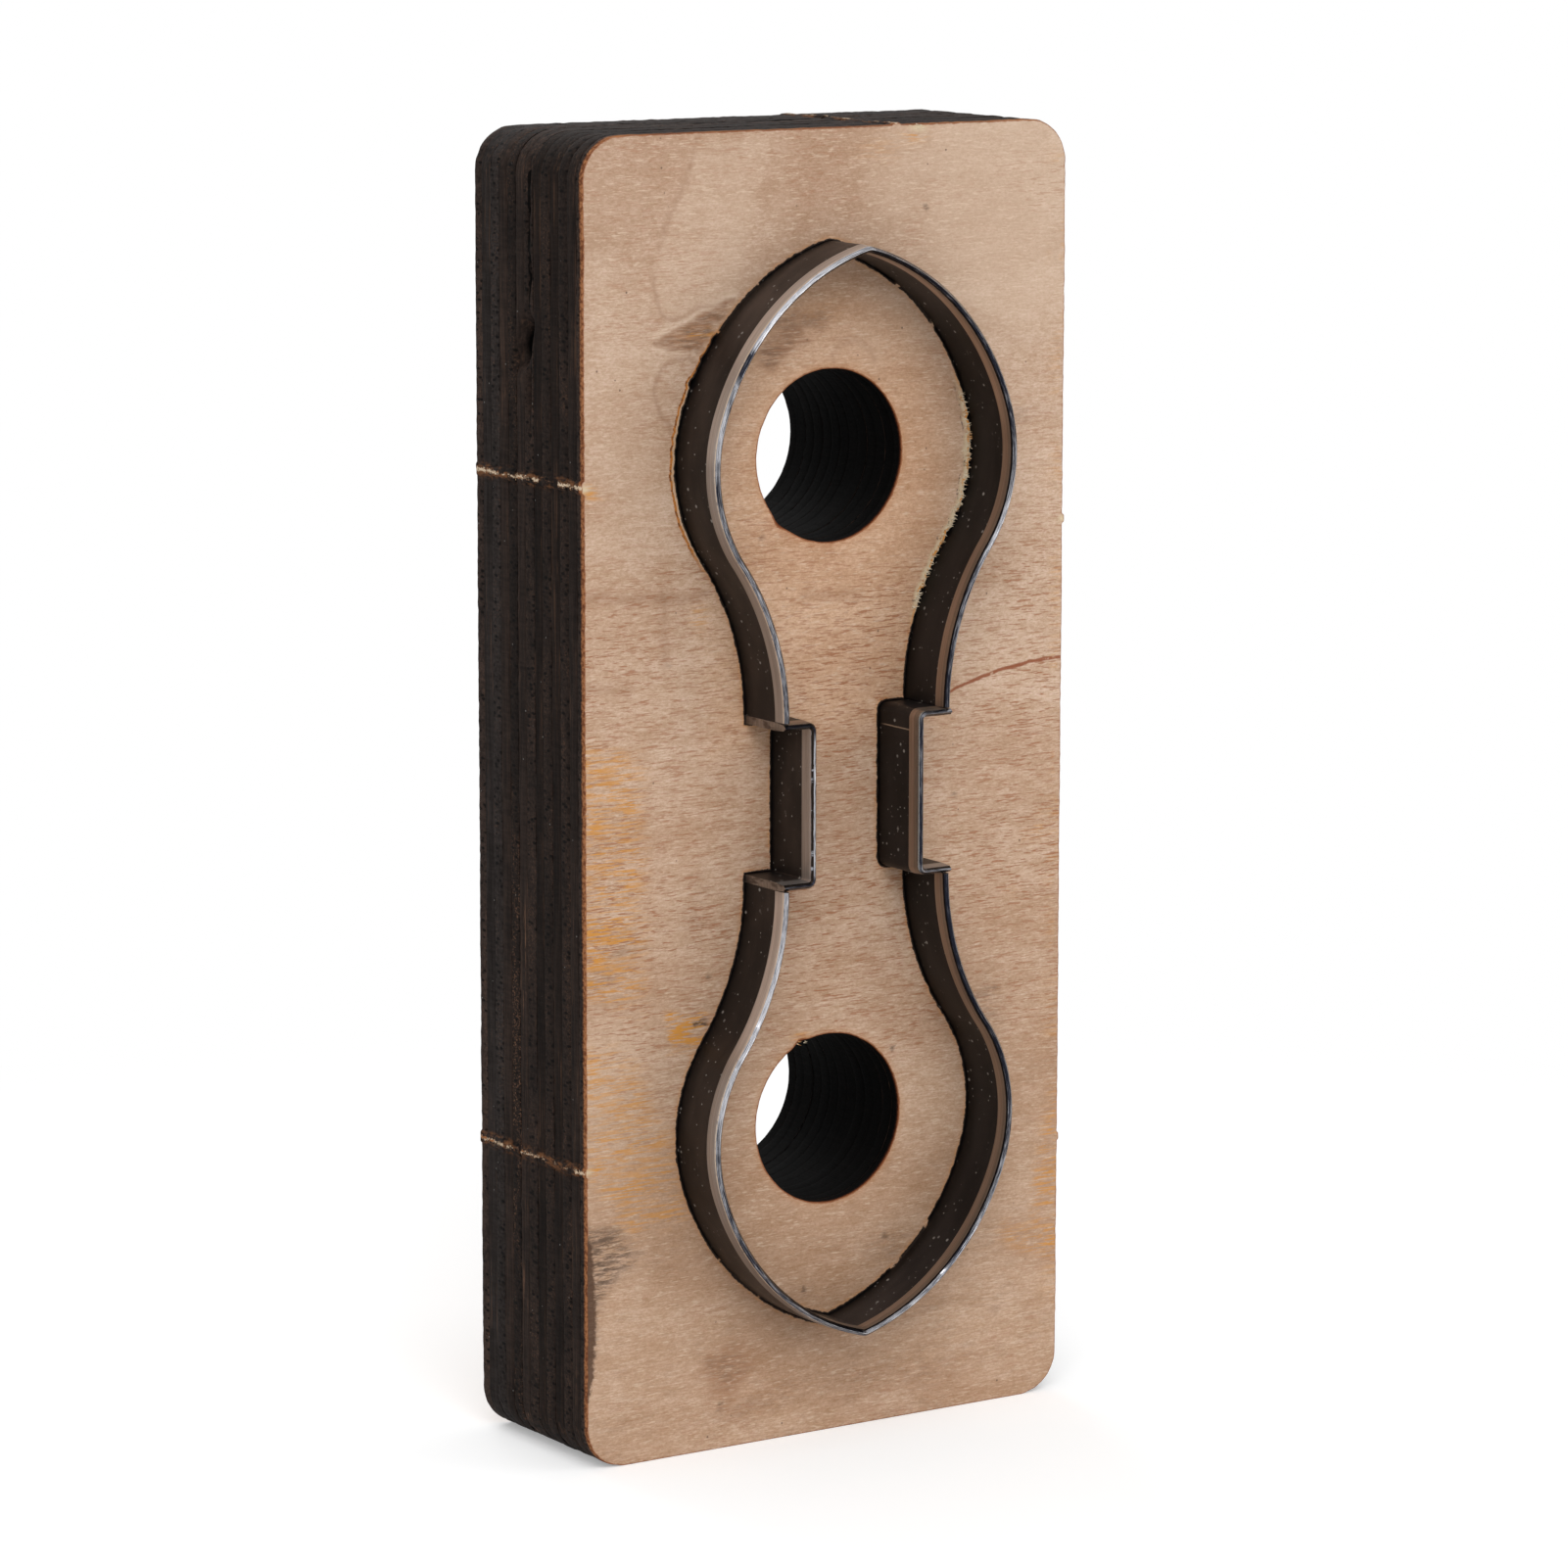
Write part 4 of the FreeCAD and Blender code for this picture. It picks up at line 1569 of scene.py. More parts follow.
    def build(self) -> list:
        """Builds and dresses the thirteen plies.

        Returns:
            The new objects.
        """
        back = SandedBirch("back_birch_face", shift=(11.0, 3.0, 17.0), toast=0.45, streak=False)
        faces = {1: SandedBirch("front_birch_face").material(), self.ply_count: back.material()}
        bore = CharredBore().material()
        made = []
        for number in range(1, self.ply_count + 1):
            name = f"core_ply_{number:02d}"
            node = "front_core" if number <= self.front_core_plies + 1 else "back_core"
            slot = "core_birch"
            if number == 1:
                name, node, slot = "front_birch_veneer", "front_veneer", "face_birch"
            if number == self.ply_count:
                name, node, slot = "back_birch_veneer", "back_veneer", "face_birch"
            char = CharredBirch(
                f"char_{number:02d}",
                Grain.ACROSS if number % 2 == 1 else Grain.UPRIGHT,
                tone=self.tones[number - 1],
                brown=0.55 if number in self.brown_plies else 0.0,
                tear=self.tears[number - 1],
                shift=(number * 3.7, number * 1.9, number * 5.3),
                rim=number == 1,
                cracked=number in self.cracked,
                cool=number in self.cool_plies)
            materials = [char.material(), bore] + ([faces[number]] if number in faces else [])
            ply = self.ply(number).to_object(name, materials, 40.0)
            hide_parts(node)
            log.info("%s stands for %s with %d faces", name, node, len(ply.data.polygons))
            made.append(ply)
        return made


def lattice(x0: float, x1: float, z0: float, z1: float, pitch: float) -> Array:
    """An even field of points over a rectangle, each shaken by a quarter of the pitch.

    Args:
        x0: Its left side.
        x1: Its right side.
        z0: Its lower side.
        z1: Its upper side.
        pitch: The distance between points.

    Returns:
        The points, one row each.
    """
    x, z = np.meshgrid(np.arange(x0, x1, pitch), np.arange(z0, z1, pitch))
    points = np.column_stack([x.ravel(), z.ravel()])
    return points + np.random.default_rng(7).uniform(-0.25, 0.25, points.shape) * pitch


def filled(rings: list, loops: list, extra: Array, first_extra: int) -> Array:
    """Fills a flat face with triangles, leaving its holes open, by constrained Delaunay triangulation.

    Args:
        rings: The outer ring and then the holes', run with the wood on their left.
        loops: The vertex numbers of each ring's points.
        extra: Further points of the face.
        first_extra: The vertex number that the first of them gets.

    Returns:
        The triangles as vertex numbers.
    """
    flat = np.concatenate(rings + [extra])
    numbers = np.concatenate(loops + [first_extra + np.arange(len(extra))])
    edges, outlines, start = [], [], 0
    for index, ring in enumerate(rings):
        around = start + np.arange(len(ring))
        edges += np.column_stack([around, np.roll(around, -1)]).tolist()
        outlines.append(around.tolist() if index == 0 else around[::-1].tolist())
        start += len(ring)
    result = delaunay_2d_cdt([Vector(p) for p in flat.tolist()], edges, outlines, 1, 1e-6)
    origin = [ids[0] if ids else -1 for ids in result[3]]
    kept = [[origin[v] for v in face] for face, ids in zip(result[2], result[5]) if list(ids) == [0]]
    if any(v < 0 for face in kept for v in face):
        log.warning("a flat face has crossing edges")
        kept = [face for face in kept if min(face) >= 0]
    return numbers[np.array(kept)]


def without_loose(shape: Shape) -> Shape:
    """The shape without the points that no face uses.

    Args:
        shape: The shape to clean.

    Returns:
        The cleaned shape.
    """
    flat = np.array([v for face in shape.faces for v in face])
    used = np.unique(flat)
    new = np.full(len(shape.points), -1)
    new[used] = np.arange(len(used))
    faces = [[int(new[v]) for v in face] for face in shape.faces]
    return Shape(shape.points[used], faces, shape.material, shape.values, shape.uv)


@dataclass
class FaceMarks:
    """The marks on a face veneer, as values painted on its points."""

    board: Board
    back: bool

    def paint(self, points: Array, walls: list) -> dict:
        """Works out every painted value.

        Args:
            points: The ply's points.
            walls: The ply's rings with their rows and distances.

        Returns:
            The values by name: the distances to kerf, hole and rim, where the seam, the flap and the
            creeping char are, and warm, pale, tan, vein, amber, soot and straw.
        """
        flat = points[:, [0, 2]] - np.array([0.0, MID_HEIGHT])
        row = -1 if self.back else 0
        edges = [ring + into_wood(ring) * bite[row][:, None] for ring, _, bite in walls]
        gaps = [nearest(flat, np.concatenate(part)) for part in (edges[3:], edges[1:3], edges[:1])]
        # Over the bridges, where the mesh has no gap, the line beside the blade is painted as well: partly
        # char, partly painted shade of a gap.
        if not self.back:
            gaps[0] = np.minimum(gaps[0], self.over_bridges(flat))
        values = dict(zip(("kerf_gap", "hole_gap", "rim_gap"), (np.minimum(gap, 4.0) for gap in gaps)))
        xz = np.column_stack([flat[:, 0], points[:, 2]])
        if self.back:
            values["soot"] = cloud(xz, (7.0, 3.0), 21) ** 3 * 0.45
            values["vein"] = self.back_figure(xz)
            values["amber"] = cloud(xz, (6.0, 2.0), 22) ** 2 * 0.5
            return values
        x, z = xz.T
        bent = xz + np.column_stack([cloud(xz, (1.3, 0.9), 31), cloud(xz, (1.3, 0.9), 32)]) - 0.5
        flank = joined(list(self.board.outline.lobe_half(self.board.upper_tip, self.board.bridge))).points
        flank = flank[np.argsort(flank[:, 1])]
        inside = (x > 8.5) * (x < np.interp(z - MID_HEIGHT, flank[:, 1], flank[:, 0]))
        values["flap"] = inside * np.interp(z, (71.0, 73.5, 90.0, 93.5), (0, 1, 1, 0))
        values["seam"] = (x < -9.0) * np.interp(z, (77.0, 79.5, 97.0, 99.5), (0, 1, 1, 0))
        heights, offs = (78.0, 84.0, 90.0, 93.5, 95.0, 98.0), (0.34, 0.46, 0.46, 0.36, 0.16, 0.12)
        values["seam_gap"] = np.interp(z, heights, offs)
        values["creep"] = (x < -20) * np.interp(z, (4.0, 8.0, 14.0, 20.0, 22.0), (0, 0.8, 1, 0.7, 0))
        lobe = [(-12, 62), (-13, 80), (-9, 99), (0, 103), (9, 99), (13, 80), (12, 62)]
        values["warm"] = 0.8 * patch(xz, lobe, 6.0)
        values["pale"], values["vein"] = self.front_figure(xz * 0.75 + bent * 0.25)
        values["straw"] = self.front_straw(xz)
        values["tan"] = self.front_tan(xz, bent)
        values["amber"] = self.front_amber(xz, bent)
        values["soot"] = self.front_soot(xz, bent)
        return values

    def over_bridges(self, flat: Array) -> Array:
        """The distance to the blade's faces where it crosses the bridges, less than nothing under it.

        Args:
            flat: Places as (x, height), with the height from the board's middle.

        Returns:
            One distance for each place.
        """
        line = BladeOutline(spacing=0.08)
        paths = []
        for tip, down in ((self.board.upper_tip, False), (self.board.lower_tip, True)):
            over = line.lobe_half(tip, self.board.bridge)[1]
            paths += [over.mirrored(across, down).points for across in (False, True)]
        return nearest(flat, np.concatenate(paths)) - line.half_kerf

    def back_figure(self, xz: Array) -> Array:
        """The back veneer's figure: nested ovals round a low middle, faint and broken.

        Args:
            xz: The points' places.

        Returns:
            How strongly it marks each place.
        """
        reach = np.hypot((xz[:, 0] - 6.0) / 9.0, (xz[:, 1] - 47.0) / 26.0) + 0.08 * cloud(xz, (6.0, 9.0), 51)
        ring = np.exp(-(((reach * 3.2) % 1.0 - 0.5) / 0.05) ** 2)
        return ring * 0.30 * (cloud(xz, (4.0, 3.0), 52) > 0.35)

    def front_figure(self, xz: Array) -> tuple:
        """The figure: two tongues and a fan left of the upper lobe, stains, and swirls inside the lobe.

        Args:
            xz: The points' places, slightly shaken.

        Returns:
            How much paler each place is, and how strongly the figure's lines mark it.
        """
        tongue = ((-13.4, 114.6), (-14.7, 111.0), (-16.7, 107.3), (-17.7, 104.6), (-17.9, 102.5),
                  (-17.7, 101.0), (-17.2, 99.9), (-16.4, 99.4), (-15.6, 99.3), (-14.9, 99.5), (-13.4, 100.1),
                  (-9.8, 100.7))
        second = ((-13.6, 95.3), (-14.6, 95.9), (-15.7, 95.8), (-17.0, 95.2), (-17.8, 94.1), (-17.9, 93.2),
                  (-17.7, 92.3), (-17.0, 91.0), (-16.3, 89.9))
        fan_top = ((-17.9, 97.5), (-16.7, 97.9), (-14.7, 98.7), (-12.4, 99.7), (-9.8, 100.6))
        fan_low = ((-17.9, 97.4), (-15.7, 97.0), (-14.1, 96.7), (-12.9, 96.5))
        swirl = ((0.2, 94.9), (0.4, 95.9), (1.4, 96.5), (3.0, 96.5), (4.4, 95.6), (4.6, 94.7))
        vein = strokes(xz, (
            (0.42, 0.20, tongue), (0.42, 0.22, second), (0.35, 0.22, fan_top), (0.40, 0.20, fan_low),
            (0.25, 0.35, swirl), (0.35, 0.14, ((-18.8, 114.7), (-18.8, 108.4))),
            (0.42, 0.5, ((-24.6, 76.3), (-17.1, 75.4), (-12.9, 75.6))),
            (0.28, 0.5, ((-17.0, 76.0), (-16.9, 69.8))), (0.35, 0.5, ((-2.4, 74.7), (3.3, 74.3))),
            (0.30, 0.5, ((-24.8, 68.4), (-20.5, 68.0))),
            (0.10, 0.9, ((14.0, 98.5), (19.5, 96.0), (24.5, 95.2))),
            (0.10, 0.8, ((12.0, 90.0), (20.0, 89.0), (24.5, 89.6)))))
        pale = strokes(xz, (
            (0.60, 0.28, [(x, z + 0.45) for x, z in fan_top]),
            (0.45, 0.28, [(x, z - 0.45) for x, z in fan_low]), (0.12, 1.3, swirl)))
        pale += patches(xz, ((0.22, 1.6, tongue + ((-6.0, 114.6),)),))
        pale += spots(xz, ((0.12, -21.0, 92.0, 4.0, 14.0, 0), (0.25, -22.0, 32.0, 5.0, 9.0, 0)))
        # Painted light: paler towards the top right, taking back part of the painted shade at the top of the
        # face.
        pale += np.clip((xz[:, 0] - 2) / 10, 0, 1) * np.clip((xz[:, 1] - 94) / 6, 0, 1) * 0.35
        pale += cloud(xz, (3.0, 7.0), 41) ** 3 * np.clip((xz[:, 1] - 80) / 25, 0, 1) * 0.15
        return np.clip(pale, 0, 0.8), np.clip(vein, 0, 0.8)

    def front_tan(self, xz: Array, bent: Array) -> Array:
        """Brown stains: the fan and the smudges by the upper lobe, and rubbed patches low on the board.

        Args:
            xz: The points' places.
            bent: The same places, shaken.

        Returns:
            How strongly it marks each place.
        """
        stains = patches(bent, (
            (1.25, 0.9, ((-18.2, 97.4), (-14.6, 98.8), (-10.4, 100.6), (-11.9, 97.9), (-13.4, 96.5),
                         (-15.4, 96.8))),
            (0.90, 1.0, ((-7.8, 95.6), (-5.8, 97.2), (-3.4, 97.9), (-2.0, 96.9), (-4.2, 95.5), (-6.0, 94.5))),
            (0.63, 0.9, ((-6.4, 98.2), (-3.6, 99.4), (0.8, 99.3), (-0.8, 98.0), (-4.4, 97.6))),
            (0.95, 2.0, ((-13.4, 7.0), (-11.8, 9.2), (-9.0, 9.2), (-7.4, 7.2), (-9.2, 5.6), (-10.4, 3.4),
                         (-12.4, 5.0))),
            (0.45, 2.2, ((25.4, 29.0), (23.2, 27.0), (22.6, 17.0), (18.6, 16.8), (18.2, 14.2), (22.8, 11.6),
                         (25.4, 12.0)))))
        middle = patches(xz, ((0.14, 3.0, ((-4.6, 42.0), (-4.6, 72.0), (4.6, 72.0), (4.6, 42.0))),))
        drops = spots(bent, ((0.4, -23.9, 85.3, 1.3, 0.9, 0),)) + spots(xz, ((0.9, -4.2, 80.9, 0.9, 0.7, 0),))
        return np.clip(stains + middle + drops, 0, 1)

    def front_amber(self, xz: Array, bent: Array) -> Array:
        """Amber: flecks by the left and right edges, a stained knot, and chips beside the upper lobe.

        Args:
            xz: The points' places.
            bent: The same places, shaken.

        Returns:
            How strongly it marks each place.
        """
        grainy = 0.30 + 0.70 * cloud(xz, (2.0, 0.9), 6)
        sides = patches(bent, (
            (1.15, 3.2, ((-25.4, 63.5), (-20.0, 62.0), (-19.0, 50.0), (-19.8, 40.0), (-25.4, 42.0))),
            (0.85, 3.0, ((-25.4, 38.0), (-20.5, 36.0), (-16.0, 27.5), (-15.0, 21.0), (-21.0, 20.5),
                         (-25.4, 27.0))),
            (0.75, 1.6, ((25.4, 27.5), (22.8, 25.0), (22.4, 15.5), (19.0, 16.6), (18.6, 14.8), (23.0, 12.4),
                         (25.4, 13.0)))))
        sides += spots(bent, ((0.8, 22.3, 51.8, 1.3, 0.9, 0), (0.5, 19.7, 46.5, 0.7, 0.3, 0)))
        sides += np.exp(-(((xz[:, 0] - 24.6) / 1.2) ** 2)) * 0.35 * (cloud(xz, (1.0, 3.0), 8) > 0.5)
        knot = strokes(bent, (
            (2.2, 0.50, ((-16.4, 38.9), (-14.7, 38.8), (-13.0, 38.6))),
            (2.4, 0.60, ((-15.6, 37.7), (-13.5, 37.3), (-12.7, 37.7))),
            (0.35, 0.4, ((-16.5, 36.2), (-14.2, 36.0)))))
        chips = spots(xz, (
            (0.8, -13.4, 73.6, 0.8, 1.0, 0), (0.8, 8.8, 114.1, 1.2, 0.5, 0), (0.20, 5.0, 112.9, 2.2, 1.0, 0),
            (0.7, -2.9, 35.9, 1.0, 0.4, 0)))
        chips += spots(bent, (
            (1.3, -13.3, 97.9, 1.3, 0.35, -6), (1.0, -24.3, 85.0, 0.8, 0.5, 0),
            (0.7, -24.2, 26.5, 0.9, 0.6, 0), (0.20, -0.9, 99.4, 3.0, 0.8, 0)))
        return np.clip(sides * grainy + knot + chips, 0, 2.5)

    def front_soot(self, xz: Array, bent: Array) -> Array:
        """Grey smudges: the knot's fan beside and inside the upper lobe, and rubbed patches below.

        Args:
            xz: The points' places.
            bent: The same places, shaken.

        Returns:
            How strongly it marks each place.
        """
        fan = patches(bent, ((0.50, 0.8, ((-17.8, 97.4), (-14.6, 98.6), (-10.6, 100.3), (-11.9, 97.9),
                                          (-13.4, 96.7), (-15.4, 97.0))),))
        fan *= 0.45 + 0.9 * cloud(xz, (1.4, 0.35), 61)
        dirt = patches(bent, (
            (0.45, 1.0, ((-7.6, 95.6), (-5.8, 97.0), (-3.6, 97.7), (-2.4, 96.9), (-4.2, 95.7), (-6.0, 94.7))),
            (0.40, 0.9, ((-6.2, 98.2), (-3.6, 99.2), (0.6, 99.1), (-0.8, 98.2), (-4.4, 97.8))),
            (0.85, 1.6, ((-25.2, 21.6), (-21.2, 20.6), (-19.8, 18.4), (-22.6, 16.4), (-24.2, 13.6),
                         (-24.4, 9.6), (-25.2, 9.0))),
            (0.30, 1.6, ((-12.8, 7.2), (-11.6, 8.6), (-9.2, 8.6), (-8.0, 7.2), (-9.6, 6.2), (-10.6, 4.2),
                         (-12.0, 5.6)))))
        dirt += spots(bent, (
            (0.40, -23.2, 43.2, 1.6, 0.7, 10), (0.25, -21.0, 45.6, 2.2, 0.9, 5),
            (0.30, 20.0, 88.7, 1.8, 0.9, 18), (0.30, 17.2, 36.5, 1.2, 2.6, 12),
            (0.35, 17.3, 37.6, 1.2, 0.35, 8), (0.18, 3.2, 51.0, 1.6, 0.6, 0),
            (0.22, 6.5, 16.0, 4.0, 1.2, 4), (0.15, 8.0, 9.5, 5.0, 0.8, 4),
            (0.16, -13.8, 48.8, 1.4, 3.0, -15), (0.20, -8.0, 3.2, 4.5, 1.0, 8)))
        low = np.clip((52 - xz[:, 1]) / 45, 0, 1)
        blot = cloud(xz, (7.0, 2.6), 11) ** 3 * (0.05 + 0.15 * low)
        blot += cloud(xz, (1.6, 0.5), 12) ** 3 * 0.16 * low
        knot = strokes(xz, ((1.6, 0.20, ((-13.9, 38.3), (-13.2, 38.4), (-12.6, 38.1))),))
        pins = spots(xz, [(1.5, x, z, 0.17, 0.15, 0) for x, z in (
            (-16.3, 69.9), (-7.1, 79.9), (-1.1, 65.2), (10.1, 107.6), (9.7, 103.6), (9.4, 103.5),
            (19.7, 104.3), (-22.0, 41.9), (-12.5, 42.4), (-6.5, 39.6), (6.9, 33.7), (6.0, 16.8), (10.7, 11.2),
            (-11.4, 3.9), (-2.5, 13.0), (-20.4, 72.2), (13.2, 55.9), (-19.0, 33.0))])
        return np.clip(fan + dirt + blot + knot + pins, 0, 1.5)

    def front_straw(self, xz: Array) -> Array:
        """Pale torn wood at the tabs, on the top and by the upper hole's chip.

        Args:
            xz: The points' places.

        Returns:
            How strongly it marks each place.
        """
        return np.clip(spots(xz, (
            (1.0, -24.9, 85.4, 0.55, 0.30, 0), (0.8, -24.9, 26.5, 0.45, 0.25, 0),
            (1.0, 24.9, 79.6, 0.35, 0.30, 0), (1.0, 9.2, 114.7, 0.8, 0.35, 0),
            (0.9, 14.4, 86.3, 0.35, 0.60, 0))), 0, 1)


# Torn fibres


@dataclass
class TornFibres:
    """Fibres left standing where the board tore: at the kerf, the tabs and the holes' rims."""

    outline: BladeOutline = field(default_factory=BladeOutline)
    upper_tip: float = 1.4
    rings: int = 6
    sides: int = 5

    def slivers(self, starts: Array, ways: Array, lifts: Array, lengths: Array, widths: Array) -> Shape:
        """Tapered, curling slivers: start plus way times distance plus lift times its square, narrowing.

        Args:
            starts: Where each is rooted.
            ways: The unit way in which each leaves its root.
            lifts: The unit way in which each curls.
            lengths: Their lengths.
            widths: Their half widths at the root.

        Returns:
            All of them as one shape of closed tubes.
        """
        t = np.linspace(0.0, 1.0, self.rings)
        along = t[None, :, None] * lengths[:, None, None]
        curl = (t ** 2)[None, :, None] * lengths[:, None, None] * 0.35
        middle = starts[:, None] + ways[:, None] * along + lifts[:, None] * curl
        across = np.cross(ways, lifts)
        turn = np.linspace(0, 2 * np.pi, self.sides, endpoint=False)
        reach = widths[:, None, None] * (1.0 - 0.88 * t ** 1.4)[None, :, None]
        side = np.cos(turn)[None, None, :, None] * across[:, None, None]
        rise = 0.5 * np.sin(turn)[None, None, :, None] * lifts[:, None, None]
        points = (middle[:, :, None] + (side + rise) * reach[..., None]).reshape(-1, 3)
        number = np.arange(len(points)).reshape(len(starts), self.rings, self.sides)
        turned = np.roll(number, -1, 2)
        quads = np.stack([number[:, :-1], turned[:, :-1], turned[:, 1:], number[:, 1:]], -1).reshape(-1, 4)
        faces = quads.tolist() + number[:, 0, ::-1].tolist() + number[:, -1].tolist()
        return Shape(points, faces, np.zeros(len(faces), int))

    def at_kerf(self, count: int) -> list:
        """Slivers on the wood inside the upper lobe's right flank, leaning towards the blade.

        Args:
            count: How many there are.

        Returns:
            Their starts, ways, lengths and half widths.
        """
        rng = np.random.default_rng(71)
        cap, over, tail = self.outline.lobe_half(self.upper_tip, 6.0)
        line = joined([cap, over, tail])
        inner = line.offset(-self.outline.half_kerf)
        height = inner[:, 1] + MID_HEIGHT
        chosen = rng.choice(np.flatnonzero((height > 72.5) & (height < 91.5)), count)
        back = rng.uniform(0.25, 0.62, count)
        place = inner[chosen] - line.normals[chosen] * back[:, None]
        starts = np.column_stack([place[:, 0], np.full(count, FRONT_Y + 0.02), place[:, 1] + MID_HEIGHT])
        outward, upward = rng.uniform(-0.35, -0.05, count), rng.uniform(-0.8, 0.8, count)
        ways = np.column_stack([line.normals[chosen, 0], outward, upward])
        return [starts, ways, rng.uniform(0.22, 0.55, count), rng.uniform(0.035, 0.075, count)]

    def at_spots(self) -> list:
        """Slivers at the torn tabs on the left and right walls, on the top, and by the kerfs.

        Returns:
            Their starts, ways, lengths and half widths.
        """
        rng = np.random.default_rng(72)
        starts, ways = [], []
        at_tabs = ((-25.0, 26.4, -1, (13.0, 17.3), 16), (-25.0, 26.4, -1, (0.1, 6.0), 8),
                   (-25.0, 85.5, -1, (7.0, 17.0), 14), (-25.0, 85.5, -1, (0.1, 3.5), 8),
                   (25.0, 79.6, 1, (0.1, 4.0), 6), (25.0, 23.5, 1, (0.1, 4.0), 6))
        for x, height, outward, plies, count in at_tabs:
            y = FRONT_Y + rng.uniform(*plies, count)
            lean = rng.uniform(-0.12, 0.12, count)
            starts.append(np.column_stack([np.full(count, x), y, height + lean]))
            ways.append(np.column_stack([np.full(count, 0.25 * outward), rng.uniform(-0.4, 0.4, count),
                                         rng.choice([-1.0, 1.0], count)]))
        at_face = ((9.2, 114.75, (0.8, -0.25, -0.2), 7), (14.3, 86.3, (0.9, -0.25, 0.4), 7),
                   (-2.9, 35.3, (0.9, -0.15, -0.2), 5))
        for x, height, way, count in at_face:
            middle = np.array([x, FRONT_Y - 0.01, height])
            starts.append(middle + rng.uniform(-0.30, 0.30, (count, 3)) * np.array([1.4, 0.0, 0.7]))
            ways.append(np.array(way) + rng.uniform(-0.2, 0.2, (count, 3)))
        starts, ways = np.concatenate(starts), np.concatenate(ways)
        return [starts, ways, rng.uniform(0.12, 0.42, len(starts)), rng.uniform(0.03, 0.06, len(starts))]

    def build(self) -> bpy.types.Object:
        """Builds and dresses the slivers.

        Returns:
            The new object.
        """
        groups = [self.at_kerf(170), self.at_spots()]
        starts, ways, lengths, widths = (np.concatenate(parts) for parts in zip(*groups))
        ways /= np.linalg.norm(ways, axis=1)[:, None]
        lifts = np.tile(np.array([0.0, -1.0, 0.0]), (len(starts), 1))
        lifts -= ways * (ways * lifts).sum(1)[:, None]
        lifts /= np.linalg.norm(lifts, axis=1)[:, None]
        made = self.slivers(starts, ways, lifts, lengths, widths).to_object(
            "torn_birch_fibres", [TornWood().material()], 60.0)
        log.info("%s holds %d slivers", made.name, len(starts))
        return made


# The blade


